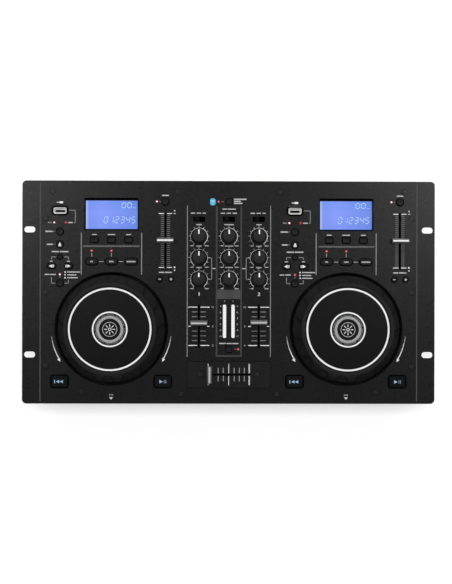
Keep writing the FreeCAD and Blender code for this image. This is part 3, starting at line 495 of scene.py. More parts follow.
def clear_window():
    """The clear display window, with faint wipe marks."""
    made = Finish("clear_window", (0.97, 0.98, 1.0), 0.02, Transmission_Weight=1.0, IOR=1.46)
    made.rough(0.01, 0.05, 30, 4)


def meter_lens():
    """A lit level bar behind a milky film, with a trace of its segments."""
    made = Finish("meter_lens", grey(0.25), 0.4)
    wave = made.node("ShaderNodeTexWave", {"Vector": made.place, "Scale": 100.0}, bands_direction="Y")["Fac"]
    made.glow(made.ramp(wave, [(0.0, grey(0.52)), (0.3, grey(0.60))]))
    made.grain(0.005, 1500, 2)


def touch_plate():
    """The touch plate: vinyl-like fine rings over a satin surface."""
    made = Finish("touch_plate", grey(0.0052, 0.0054), 0.45, 0.08)
    made.mottle(0.9, 1.1, 60, 4)
    made.rough(0.42, 0.5, 200, 3)
    inputs = {"Vector": made.place, "Scale": 1900}
    made.emboss(0.006, made.node("ShaderNodeTexWave", inputs, wave_type="RINGS", rings_direction="Z")["Fac"])
    made.grain(0.006, 2200, 2)


def lcd_light():
    """The lit display: periwinkle, brighter by its left edge and deeper towards its right and lower sides."""
    made = Finish("lcd_light", (0.01, 0.015, 0.04), 0.3, 0.1)
    place = made.node("ShaderNodeSeparateXYZ", {"Vector": made.place})
    across = made.ramp(made.spread(place["X"], 0.0, 1.0, -30.5 * MM, 30.5 * MM), [
        (0.0, (0.50, 0.58, 0.93)), (0.035, (0.32, 0.43, 0.92)), (0.06, (0.215, 0.312, 0.94)),
        (0.3, (0.248, 0.347, 0.985)), (0.95, (0.160, 0.272, 0.83)), (1.0, (0.13, 0.23, 0.72)),
    ])
    up = made.ramp(made.spread(place["Y"], 0.0, 1.0, -17 * MM, 17 * MM), [
        (0.0, (0.70, 0.88, 1.0)), (0.12, (0.93, 0.95, 0.97)), (0.6, grey(1.0)), (1.0, (0.80, 0.94, 0.97)),
    ])
    made.glow(made.mix(1.0, across, up, blend_type="MULTIPLY"))
    made.grain(0.002, 500, 2)


def shell_nickel():
    """Satin nickel of the memory-stick sockets, paler where it is worn by plugs."""
    made = Finish("shell_nickel", grey(0.78), 0.5, Metallic=0.2)
    made.mottle(0.86, 1.12, 300, 3)
    made.rough(0.42, 0.56, 400, 3, (1, 30, 1))
    made.grain(0.004, 900, 3, (1, 30, 1))


# Each row: tone, roughness, shine, scale of the texture, its depth and the tone of worn edges.
PLASTICS = {
    "foot_rubber": (grey(0.016), 0.85, 0.2, 700, 0.05),
    "track_body": (grey(0.0025), 0.7, 0.05),
    # black for painted shade round openings, the crossfader plate and the screws, and for recessed parts below
    # the panel
    "shade_and_recess_black": (grey(0.0008, 0.0009), 0.9, 0.0),
    "cradle_plastic": (grey(0.006, 0.0062), 0.6),
    "bezel_plastic": (grey(0.010, 0.0105), 0.5, 0.2, 1200, 0.02, grey(0.04)),
    "phono_block": (grey(0.012), 0.45),
    "inlet_plastic": (grey(0.010), 0.4),
    "rocker_plastic": (grey(0.012), 0.3),
    "wheel_plastic": (grey(0.0130, 0.0132), 0.45, 0.08, 1900, 0.012, grey(0.03, 0.031)),
    "fader_cap": (grey(0.095, 0.097), 0.38, 0.4, 1400, 0.006),
    "knob_plastic": (grey(0.0072), 0.45, 0.22, 2200, 0.012, grey(0.05, 0.051)),
    "lever_plastic": (grey(0.0040), 0.5, 0.06),
    "pad_rubber": ((0.0044, 0.0058, 0.0060), 0.55, 0.06, 1800, 0.015),
    "key_plastic": ((0.0078, 0.0082, 0.0079), 0.45, 0.12, 2000, 0.012),
    "lcd_mask": (grey(0.004, 0.005), 0.35),
    "screw_black": (grey(0.0060, 0.0062), 0.4, 0.25, 1200, 0.008, grey(0.09)),
    "sleeve_white": (grey(0.62, 0.60), 0.4),
    "sleeve_red": ((0.42, 0.02, 0.02), 0.4),
}
INKS = {
    "white_ink": grey(0.79, 0.795),
    "legend_ink": grey(0.46, 0.465),
    "line_ink": grey(0.25, 0.253),
    "tick_ink": grey(0.15, 0.152),
    "slot_shade_black": grey(0.0008, 0.0009),
    # black for painted shade past the ends of the fader slots
    "block_ink": grey(0.062, 0.063),
    "dull_ink": grey(0.042, 0.043),
    "badge_blue": (0.07, 0.43, 0.66),
    "badge_waves": (0.42, 0.78, 0.90),
}
for name, values in PLASTICS.items():
    moulded(name, *values)
for name, tone in INKS.items():
    ink(name, tone)
enamel("panel_enamel", grey(0.0048, 0.0050), 0.31)
enamel("tub_enamel", grey(0.007, 0.0072), 0.48, 0.03)
enamel("plate_enamel", grey(0.0050, 0.0052), 0.36)
brushed("drive_case", (0.55, 0.56, 0.57), 0.38)
brushed("jack_metal", (0.62, 0.61, 0.59), 0.28, (1, 1, 1))
brushed("contact_gold", (0.85, 0.62, 0.28), 0.3, (1, 1, 1), 0.002)
lamp_light("lamp_bright", (1.0, 0.74, 0.76), (0.075, 0.006, 0.009), 1.6)
lamp_light("lamp_soft", (0.50, 0.14, 0.18), (0.10, 0.006, 0.010), 1.3)
lamp_light("lamp_dim", (0.36, 0.05, 0.06), (0.11, 0.007, 0.010), 1.2)
film_light("pad_light", 220, 0.35, (0.12, 0.19, 0.26), (0.25, 0.34, 0.42), (0.12, 0.19, 0.26), 0.5)
film_light("pause_light", 220, 0.35, (0.09, 0.11, 0.15), (0.16, 0.18, 0.23), (0.09, 0.11, 0.15), 0.5)
film_light("lcd_digits", 300, 0.3, (0.40, 0.58, 0.84), (0.47, 0.66, 0.88), (0.2, 0.25, 0.3), 0.4)
for finish in (mesh_ink, board_laminate, clear_window, meter_lens, touch_plate, lcd_light, shell_nickel):
    finish()

# The nodes that keep their CAD shape and only take a finish, by the name of each slot
REPAINTED = (
    "top_panel", "chassis_tub", "crossfader_plate", "rubber_feet", "display_windows", "level_meters",
    "control_boards", "fader_tracks", "jog_cradles", "disc_drives", "slot_bezels", "front_jacks",
    "phono_sockets", "mains_inlet", "power_rocker",
)
for name in REPAINTED:
    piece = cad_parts[name]
    for carrier in piece.material_slots:
        carrier.material = FINISHES[carrier.material.name.split(".")[0]]


# Jog wheels

SCOOPS = 16
SCOOP_TURN = {"left": 2.2, "right": 6.2}
CROWN = 18.4
SEAT = 16.6
PLATE_TOP = 18.0
SLOPE_TOP = Vector((53.2, CROWN))
SLOPE_END = Vector((62.5, 3.0))
DOWN_SLOPE = (SLOPE_END - SLOPE_TOP).normalized()
OUT_OF_SLOPE = Vector((-DOWN_SLOPE.y, DOWN_SLOPE.x))
# The way down the slope from its top edge, and half a scoop's width there
SCOOP_WIDTHS = ((1.2, 3.8), (4.0, 4.9), (9.3, 6.4), (12.2, 7.8), (16.0, 9.6), (21.0, 10.6))
SCOOP_HEAD, SCOOP_DEEPEST, SCOOP_FOOT = 1.2, 7.6, 22.0
SCOOP_DEPTH = 2.5
SLOPE_BULGE = 0.9


def wheel_section():
    """Half the section of a wheel, from the foot of its shaft round to the seat of its plate."""
    inside = [(0, -21), (4, -21), (4, -7), (9, -7), (9, 14.1), (50.9, 14.1), (60, -1.3), (60, -7)]
    wall = [(62.5, -7)] + [(62.5, -3 + 0.75 * step) for step in range(7)]
    length = (SLOPE_END - SLOPE_TOP).length
    run = []
    for step in range(27):
        up = 1.4 + (length - 2.4) * step / 26
        bulge = SLOPE_BULGE * 4 * (up / length) * (1 - up / length)
        run.append(tuple(SLOPE_END - DOWN_SLOPE * up + OUT_OF_SLOPE * bulge))
    foot = softened([wall[-1], tuple(SLOPE_END), run[0]], 1.4)
    crown = softened([run[-1], tuple(SLOPE_TOP), (49.3, CROWN), (49.3, SEAT), (0.01, SEAT)], 0.9)
    return inside + wall + foot[1:-1] + run[:-1] + crown


def steady(value, low, high):
    """0 below one value, 1 above another, and a smooth rise between."""
    share = min(max((value - low) / (high - low), 0.0), 1.0)
    return share * share * (3 - 2 * share)


def scoop_half_width(along):
    for (near, low), (far, high) in zip(SCOOP_WIDTHS, SCOOP_WIDTHS[1:]):
        if along <= far:
            return low + (high - low) * max(along - near, 0.0) / (far - near)
    return SCOOP_WIDTHS[-1][1]


def scooped(phase):
    """Finger scoops down the slope of the rim, open at its foot, deepest near their head."""
    first = math.radians(90 - phase)
    pitch = FULL_TURN / SCOOPS

    def dent(radius, height, turn):
        place = Vector((radius, height)) - SLOPE_TOP
        along, above = place.dot(DOWN_SLOPE), place.dot(OUT_OF_SLOPE)
        if radius < SLOPE_TOP.x or height < -2.5 or height > CROWN - 0.05 or above < -SCOOP_DEPTH:
            return radius, height
        aside = ((turn - first + pitch / 2) % pitch - pitch / 2) * radius
        across = max(0.0, 1.0 - (abs(aside) / scoop_half_width(along)) ** 2.6)
        rise = steady(along, SCOOP_HEAD, SCOOP_DEEPEST)
        fall = 1.0 - 0.55 * max(0.0, along - SCOOP_DEEPEST) / (SCOOP_FOOT - SCOOP_DEEPEST)
        depth = max(0.0, SCOOP_DEPTH * across * rise * fall + above)
        return radius - OUT_OF_SLOPE.x * depth, height - OUT_OF_SLOPE.y * depth

    return dent


def jog_wheel(side, x):
    body = f"jog_wheel_{side}"
    centre = (x, JOG_Y, PANEL)
    rim = Shape(centre).lathe(wheel_section(), 640, scooped(SCOOP_TURN[side]))
    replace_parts(rim.make(f"jog_rim_{side}", "wheel_plastic", body, "wheel_plastic"), body)
    section = softened([(0.01, SEAT), (49.1, SEAT), (49.1, PLATE_TOP), (0.01, PLATE_TOP)], 0.35)
    plate = Shape(centre).lathe(section, 192)
    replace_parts(plate.make(f"touch_plate_{side}", "touch_plate", body, "wheel_plastic"), body)
    rings, scale, mark = [Print(PANEL + PLATE_TOP, x) for _ in range(3)]
    rings.ring(0, JOG_Y, 48.0, 46.0, 192)
    rings.ring(0, JOG_Y, 20.5, 18.8, 128)
    scale.ring(0, JOG_Y, 8.5, 7.9)
    for angle in range(0, 360, 2):
        scale.spoke(0, JOG_Y, angle, 12.5, 15.7, 0.34)
        if angle % 6 and 3 < (angle - 21) % 60 < 57:
            scale.spoke(0, JOG_Y, angle, 16.2, 17.4, 0.2)
    mark.ring(0, JOG_Y, 1.9, 1.2, 48)
    for angle in range(0, 360, 45):
        mark.spoke(0, JOG_Y, angle, 3.2, 6.2, 0.8)
    rings.make(f"jog_rings_{side}", "white_ink", body)
    scale.make(f"jog_scale_{side}", "legend_ink", body)
    mark.make(f"jog_mark_{side}", "white_ink", body)


for side, x in DECKS.items():
    jog_wheel(side, x)


# Keys

# Openings: width, depth and corner radius
ROUND, SMALL, BEND, OVAL = (9.2, 9.2, 4.6), (6.8, 6.8, 3.4), (7.2, 7.2, 3.6), (11, 7.4, 3.6)
DISPLAY, LOOP, PAD, SQUARE = (10, 7.6, 1.6), (15.6, 8.8, 4.3), (20.6, 14.6, 2.4), (7.6, 7.6, 0.6)
FLANGE = (86.6, 87.8)
PAD_Y = -104.4
DECK_KEYS = {
    "select_key": [(-60, 70.8, ROUND)],
    "eject_key": [(-60, 55.7, ROUND)],
    "track_keys": [(-70, 30.3, OVAL), (-50, 30.3, OVAL), (-60, 41, SMALL)],
    "jog_mode_key": [(-60, 10.3, ROUND)],
    "display_keys": [(-20, 61, DISPLAY), (0, 61, DISPLAY), (20, 61, DISPLAY)],
    "loop_keys": [(-23, 35.7, LOOP), (0, 35.7, LOOP), (23, 35.7, LOOP)],
    "cue_key": [(-60.2, PAD_Y, PAD)],
    "play_key": [(60.2, PAD_Y, PAD)],
    "tempo_key": [(63, 106, ROUND)],
    "bend_keys": [(56.35, 15.3, BEND), (69.65, 15.3, BEND)],
}
DISHED = ("select_key", "jog_mode_key", "display_keys", "tempo_key")
KEY_MARKS = (
    ("eject_mark", "white_ink", "eject_key"), ("track_marks", "white_ink", "track_keys"),
    ("loop_marks", "legend_ink", "loop_keys"), ("bend_marks", "legend_ink", "bend_keys"),
    ("cue_mark", "pad_light", "cue_key"), ("play_mark", "pad_light", "play_key"),
    ("pause_mark", "pause_light", "play_key"),
)


def cap(shape, x, y, opening, edge, dish, gap):
    """One key cap with a rounded rim, its flange under the panel and its stem."""
    width, height, corner = opening[0] - 2 * gap, opening[1] - 2 * gap, max(opening[2] - gap, 0.6)
    steps = 12 if corner * 2 >= min(width, height) - 0.3 else 6
    shape.prism(rounded(opening[0] + 2, opening[1] + 2, 1, x, y), *FLANGE)
    shape.block((x - 1.5, x + 1.5), (y - 1.5, y + 1.5), (85.4, FLANGE[0]))
    rings = [lifted(rounded(width, height, corner, x, y, steps), FLANGE[1])]
    for step in range(7):
        turn = math.radians(15 * step)
        inset = edge * (1 - math.cos(turn))
        outline = rounded(width - 2 * inset, height - 2 * inset, max(corner - inset, 0.05), x, y, steps)
        rings.append(lifted(outline, KEY_TOP - edge + edge * math.sin(turn)))
    last = rings[-1]
    for step in range(1, 8):
        scale = 1 - step / 8
        level = KEY_TOP - dish * (1 - scale**2)
        rings.append([(x + (px - x) * scale, y + (py - y) * scale, level) for px, py, _ in last])
    shape.loft(rings)


def key_borders(name, places):
    """Painted shade: a black band on the panel round each opening that the caps stand in, where the gap round
    the caps is in shade.
    """
    gap_shades = Shape()
    for x, y, (width, height, corner) in places:
        grow, rounder = (0.8, 0.6) if width > 20 else (0.45, 0.0)
        outer = rounded(width + 2 * grow, height + 2 * grow, corner + grow + rounder, x, y)
        inner = rounded(width - 0.1, height - 0.1, corner - 0.05, x, y)
        gap_shades.frame(outer, inner, PANEL - 0.02, PANEL + 0.08)
    gap_shades.make(name, "shade_and_recess_black")


def deck_keys(side, deck):
    for name, caps in DECK_KEYS.items():
        node = f"{name}_{side}"
        slot = "pad_rubber" if caps[0][2] is PAD else "key_plastic"
        shape = Shape()
        for x, y, opening in caps:
            edge, gap = (1.1, 0.8) if opening is PAD else (0.8, 0.7)
            cap(shape, deck + x, y, opening, edge, 0.3 if name in DISHED or opening is SMALL else 0.0, gap)
        # the strip that joins the caps of one key mat
        for start, end in zip(caps, caps[1:]):
            middle = (start[1] + end[1]) / 2
            reach = (start[0], end[0]) if start[1] == end[1] else (-70, -50)
            shape.block((deck + reach[0], deck + reach[1]), (middle - 1.5, middle + 1.5), FLANGE)
        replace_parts(shape.make(f"{node}_caps", slot, node, slot), node)
        key_borders(f"{node}_borders", [(deck + x, y, opening) for x, y, opening in caps])


def key_marks(side, deck):
    """The symbols on the caps; each rides on its key."""
    marks = [Print(KEY_TOP, deck) for _ in KEY_MARKS]
    eject, track, loop, bend, cue, play, pause = marks
    eject.triangle(-60, 56.5, 3.4, "up")
    eject.bar(-61.8, 53.4, -58.2, 54.3)
    track.triangle(-70.9, 30.3, 3.6, "left")
    track.triangle(-49.1, 30.3, 3.4, "right")
    for x in (-68.7, -67.4, -52.0, -53.3):
        track.bar(x, 28.7, x + 0.7, 31.9)
    for index, count in enumerate((3, 5, 10)):
        for block in range(count):
            middle = -23 + 23 * index + (block - (count - 1) / 2) * 1.05
            loop.post(middle, 0.4, 34.9, 36.5)
    bend.bars((54.8, 14.85, 57.9, 15.75), (68.1, 14.85, 71.2, 15.75))
    bend.bars((69.2, 13.75, 70.1, 14.85), (69.2, 15.75, 70.1, 16.85))
    cue.bar(-66.2, PAD_Y - 1.9, -65.3, PAD_Y + 1.9)
    for middle in (-62.3, -57.9):
        cue.triangle(middle, PAD_Y, 3.8, "left")
    play.triangle(58.4, PAD_Y, 4.0, "right")
    for middle in (62.0, 63.9):
        pause.post(middle, 0.35, PAD_Y - 1.9, PAD_Y + 1.9)
    for mark, (name, finish, key) in zip(marks, KEY_MARKS):
        mark.make(f"{name}_{side}", finish, f"{key}_{side}")


for side, deck in DECKS.items():
    deck_keys(side, deck)
    key_marks(side, deck)
for node, y in (("wireless_key", 106.0), ("fader_start_key", -66.5)):
    square = Shape()
    cap(square, 0.0, y, SQUARE, 0.5, 0.2, 0.55)
    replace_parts(square.make(f"{node}_cap", "key_plastic", node, "key_plastic"), node)
    # painted shade round the square key's opening
    key_borders(f"{node}_border", [(0.0, y, SQUARE)])


# Knobs

KNOB_SECTION = softened([
    (0.01, -5.8), (3.0, -5.8), (3.0, 0.8), (8.0, 0.8), (8.2, 3.0), (7.95, 12.2), (7.0, 14.0), (0.01, 14.0),
], 0.9)
POINTER_PATH = ((2.3, 14.0), (6.6, 14.0), (7.1, 13.75), (7.35, 13.4))
KNOBS = {
    "left": ("gain_knob_left", "high_knob_left", "low_knob_left"),
    "middle": ("cue_volume_knob", "microphone_knob", "master_knob"),
    "right": ("gain_knob_right", "high_knob_right", "low_knob_right"),
}


def knob(node, x, y):
    centre = (x, y, PANEL)
    turned = Shape(centre).lathe(KNOB_SECTION, 96)
    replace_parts(turned.make(f"{node}_cap", "knob_plastic", node, "knob_plastic"), node)
    rings = []
    for radius, height in POINTER_PATH:
        low = (y + radius - 0.25, PANEL + height - 0.25)
        high = (y + radius + 0.03, PANEL + height + 0.04)
        rings.append([(x - 0.75, *low), (x - 0.75, *high), (x + 0.75, *high), (x + 0.75, *low)])
    Shape(centre).loft(rings).make(f"{node}_pointer", "white_ink", node)


for column, names in KNOBS.items():
    for name, y in zip(names, KNOB_ROWS):
        knob(name, COLUMNS[column], y)


# Fader caps and switch levers

# Each fader's place at rest, its cap's foot above the panel and the way it slides
FADERS = {
    "pitch_fader_left": (DECKS["left"] + 63, 60.5, 1.0, "y"),
    "pitch_fader_right": (DECKS["right"] + 63, 60.5, 1.0, "y"),
    "channel_fader_left": (COLUMNS["left"], -36.0, 1.0, "y"),
    "channel_fader_right": (COLUMNS["right"], -35.2, 1.0, "y"),
    "crossfader": (-22.5, CROSSFADER_Y, 1.8, "x"),
}
CAP_HEIGHT = 8.0


def cap_section():
    """Half a fader cap's section, from its foot up its ribbed side to the ridge."""
    side = [(3.2, 0.0), (3.2, 0.9)]
    for step in range(4):
        low = 1.3 + step * 1.35
        across = 3.05 - step * 0.27
        for inwards, up in ((0.0, 0.0), (0.32, 0.3), (0.32, 0.75), (0.14, 1.0)):
            side.append((across - inwards, low + up))
    for across, down in ((1.95, 1.15), (1.55, 1.0), (1.0, 1.0), (0.85, 0.12), (0.75, 0.0)):
        side.append((across, CAP_HEIGHT - down))
    return side


def fader_cap(node, x, y, bottom, way):
    right = cap_section()
    loop = right + [(-across, up) for across, up in reversed(right)]
    middle = CAP_HEIGHT / 2
    rings = []
    for along, squeeze in ((-9.8, 0.93), (-9.65, 0.975), (-9.3, 1.0), (9.3, 1.0), (9.65, 0.975), (9.8, 0.93)):
        rings.append([(along, across * squeeze, middle + (up - middle) * squeeze) for across, up in loop])
    shape = Shape((x, y, PANEL)).loft(rings).block((-1.2, 1.2), (-0.7, 0.7), (-6.0 - bottom, 0.5))
    line = Shape().block((-9.2, 9.2), (-0.95, 0.95), (CAP_HEIGHT - 0.3, CAP_HEIGHT + 0.04))

    def move(point):
        along, across, up = point
        if way == "x":
            along, across = -across, along
        return (x + along, y + across, PANEL + bottom + up)

    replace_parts(shape.turned(move).make(f"{node}_cap", "fader_cap", node, "fader_cap", 28), node)
    line.turned(move).make(f"{node}_line", "white_ink" if "pitch" in node else "legend_ink", node)


def switch_lever(node, x):
    """A slide switch's nub with ridges across its travel, and the shield round its foot."""
    low, high, half = 84.3, 92.2, 2.8
    middle = (low + high) / 2
    section = [(-half, low), (half, low), (half, high - 0.9)]
    for step in range(4):
        right = half - 0.25 - step * 1.35
        groove = high - 0.65
        section += [(right, high), (right - 0.5, high), (right - 0.7, groove), (right - 1.0, groove)]
    section = section[:-2] + [(-half + 0.02, high - 0.9)]
    rings = []
    for across, squeeze in ((-2.8, 0.94), (-2.6, 1.0), (2.6, 1.0), (2.8, 0.94)):
        tall = 0.5 + squeeze / 2
        rings.append([(x + along * squeeze, SWITCH_Y + across, middle + (up - middle) * tall)
                      for along, up in reversed(section)])
    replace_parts(Shape().loft(rings).make(f"{node}_nub", "lever_plastic", node, "lever_plastic"), node)
    outer, inner = (21.6, 9.0, 1.0, x, SWITCH_Y), (6.2, 5.4, 0.2, x, SWITCH_Y)
    border(f"{node}_shield", outer, inner, 86.2, 86.8, "shade_and_recess_black", node)


for name, place in FADERS.items():
    fader_cap(name, *place)
for column, x in COLUMNS.items():
    switch_lever(f"source_switch_{column}", x - 2.6)


# Displays

SEGMENTS = {
    "a": (0.12, 1.0, 0.88, 1.0), "b": (1.0, 0.93, 1.0, 0.55), "c": (1.0, 0.45, 1.0, 0.07),
    "d": (0.12, 0.0, 0.88, 0.0), "e": (0.0, 0.45, 0.0, 0.07), "f": (0.0, 0.93, 0.0, 0.55),
    "g": (0.12, 0.5, 0.88, 0.5),
}
DIGITS = ("abcdef", "bc", "abged", "abgcd", "fgbc", "afgcd")
STROKE = 0.85


def segment_digit(sheet, digit, x, y, width, height, slant):
    """One seven-segment digit with its lower left corner at x, y."""
    for name in DIGITS[digit]:
        x0, y0, x1, y1 = SEGMENTS[name]
        start = Vector((x0 * width, y0 * height))
        end = Vector((x1 * width, y1 * height))
        tip = (end - start).normalized() * STROKE / 2
        side = Vector((-tip.y, tip.x))
        corners = [start, start + tip - side, end - tip - side, end, end - tip + side, start + tip + side]
        sheet.fill([(x + point.x + slant * point.y, y + point.y) for point in corners])


def display(side, deck):
    """A display module: its case, the black mask round the picture, the lit face and its digits."""
    x, y = deck + 0.25, 90.25
    case = Shape().prism(rounded(64, 37, 0.6, deck, 90.5), 79.0, 85.2)
    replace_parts(case.make(f"display_case_{side}", "lcd_mask", "console", "display_face"), "display_modules")
    border(f"display_mask_{side}", (64, 37, 0.6, deck, 90.5), (61, 34, 0.5, x, y), 85.2, 85.95, "lcd_mask")
    # painted shade: a black rim on the panel round the display window, where shade falls round it
    outer, inner = (63.0, 38.0, 0.8, deck + 0.05, 91.1), (61.5, 34.3, 0.5, deck - 0.25, 90.9)
    border(f"display_shade_rim_{side}", outer, inner, PANEL - 0.02, PANEL + 0.12)
    face = Shape((x, y, 85.5)).prism(rounded(60.9, 33.9, 0.4, x, y), 85.15, 85.6)
    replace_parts(face.make(f"display_face_{side}", "lcd_light", "console", "display_face"), "display_modules")
    digits = Print(85.62, deck)
    for index in range(2):
        segment_digit(digits, 0, 11.6 + index * 6.6, 98.9, 4.4, 5.8, 0.10)
        digits.bar(24.6 + index * 2.2, 98.6, 25.8 + index * 2.2, 99.2)
    for digit in range(6):
        segment_digit(digits, digit, -9.4 + digit * 6.4, 81.1, 4.1, 7.2, 0.16)
    digits.make(f"display_digits_{side}", "lcd_digits")


for side, deck in DECKS.items():
    display(side, deck)


# Level bars

bars = Shape()
for x in (-5.0, 5.0):
    bars.prism(rounded(3.7, 38.8, 1.4, x, -33.9), 79.0, 90.15)
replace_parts(bars.make("level_bars", "meter_lens", "console", "meter_lens"), "level_meters")


# Status lamps: each one's place on its deck, and its light on the left and on the right deck

DECK_LAMPS = {
    "disc": (-66.7, 81.2, "bright", "bright"),
    "stick": (-53.4, 81.2, "dim", "dim"),
    "mode": (-60.0, 20.6, "bright", "soft"),
    "loop_in": (-23.0, 48.3, "soft", "soft"),
    "loop_out": (0.0, 48.3, "soft", "soft"),
    "tempo": (52.9, 106.0, "bright", "bright"),
}
LENS = softened([
    (0.01, -9), (1.5, -9), (1.5, 0.03), (1.9, 0.03), (1.9, 0.16), (1.35, 0.4), (0.8, 0.7), (0.01, 0.7),
], 0.25)


def lamp(name, x, y, state):
    lens = Shape((x, y, PANEL)).lathe(LENS, 32)
    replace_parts(lens.make(f"{name}_lamp", f"lamp_{state}", "console", "lamp_lens"), "status_lamps")


for turn, (side, deck) in enumerate(DECKS.items()):
    for name, (x, y, *states) in DECK_LAMPS.items():
        lamp(f"{name}_{side}", deck + x, y, states[turn])
lamp("wireless", -12.3, 106.0, "soft")
lamp("relay", 11.0, -66.5, "soft")


# Memory-stick sockets

SHELL_STEPS = (
    (13.2, 5.8, 79.0), (13.4, 6.0, 88.9), (15.0, 7.3, 89.9), (15.3, 7.5, 90.25), (15.2, 7.4, 90.4),
    (14.4, 6.7, 90.2), (12.8, 5.4, 88.9), (12.4, 5.0, 88.3), (12.4, 5.0, 86.2),
)


def stick_socket(side, x, y):
    rings = [lifted(rounded(width, deep, deep * 0.3, x, y), z) for width, deep, z in SHELL_STEPS]
    shell = Shape().loft(rings).make(f"stick_shell_{side}", "shell_nickel", "console", "socket_shell")
    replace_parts(shell, "stick_sockets")
    tongue = Shape().prism(rounded(11.0, 2.0, 0.3, x, y - 0.5), 85.9, 89.4)
    for index in range(5):
        across = x + (index - 2) * 2.2
        tongue.block((across - 0.45, across + 0.45), (y + 0.4, y + 1.0), (85.9, 89.0))
    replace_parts(tongue.make(f"stick_tongue_{side}", "track_body"), "stick_sockets")
    contacts = Shape()
    for index in range(4):
        across = x + (index - 1.5) * 2.2
        contacts.block((across - 0.4, across + 0.4), (y + 0.5, y + 0.62), (86.0, 89.2))
    contacts.make(f"stick_contacts_{side}", "contact_gold")
    border(f"stick_well_{side}", (20.6, 12.0, 4.6, x, y, 8), (13.3, 5.9, 0.9, x, y, 8), 86.4, 87.4)
    # painted shade: a black band on the panel's face over the opening round the shell, where the opening is in
    # shade
    outer, inner = (20.4, 11.6, 4.8, x, y, 8), (15.9, 8.1, 2.4, x, y, 8)
    border(f"stick_gasket_{side}", outer, inner, PANEL - 0.02, PANEL + 0.1)


for side, deck in DECKS.items():
    stick_socket(side, deck - 60, 95.2)


# Screws

SCREW_RADIUS = 3.0
SCREW_LEVELS = (SCREW_RADIUS, 2.85, 2.6, 2.2, 1.8, 1.5, 1.25, 1.0, 0.75, 0.5, 0.25, 0.02)


def screw_head():
    """A flat-head screw with a cross recess, at the origin, facing up."""

    def dent(r, height, turn):
        x, y = abs(r * math.cos(turn)), abs(r * math.sin(turn))
        arm = min(max(x / 1.55, y / 0.36), max(y / 1.55, x / 0.36))
        if height > 0 and arm < 1.25:
            height -= 0.8 * min(1.0, (1.25 - arm) / 0.4)
        return r, height

    rim = [(0.02, -0.6), (SCREW_RADIUS - 0.6, -0.6), (SCREW_RADIUS, 0.02)]
    dome = [(r, 0.12 + 0.12 * (1 - (r / SCREW_RADIUS) ** 2)) for r in SCREW_LEVELS]
    return Shape().lathe(rim + dome, dent=dent)


def screws(name, places, level):
    group = Shape()
    pattern = screw_head()
    edges = Print(level)
    for turn, (x, y) in enumerate(places):
        cosine, sine = math.cos(0.7 * turn), math.sin(0.7 * turn)
        points = [(x + px * cosine - py * sine, y + px * sine + py * cosine, level + pz)
                  for px, py, pz in pattern.points]
        group.add(points, pattern.faces)
        # a ring of painted shade round each head, where the countersink round it is in shade
        edges.ring(x, y, 3.6, 2.8, 40)
    group.make(name, "screw_black", sharp=25)
    edges.make(f"{name}_edges", "shade_and_recess_black")


PANEL_SCREWS = [(side * x, y) for side in (-1, 1) for x, y in
                ((205.5, 117.5), (60, 117.5), (214, 86.5), (214, 0), (214, -86.5), (172, -116.5), (56, -119))]
screws("panel_screws", PANEL_SCREWS, PANEL)
screws("crossfader_screws", [(-33, CROSSFADER_Y), (33, CROSSFADER_Y)], PLATE)


# Printing on the panel


def arrowhead(x, y, turn, mirror):
    """The corners of an arrowhead that follows an arc downwards."""
    out = (math.cos(turn), math.sin(turn))
    along = (math.sin(turn) * mirror, -math.cos(turn) * mirror)
    corners = ((-1.9, -1.6), (1.9, -1.6), (0.0, 2.4))
    points = [(x + out[0] * a + along[0] * b, y + out[1] * a + along[1] * b) for a, b in corners]
    return points if mirror < 0 else points[::-1]


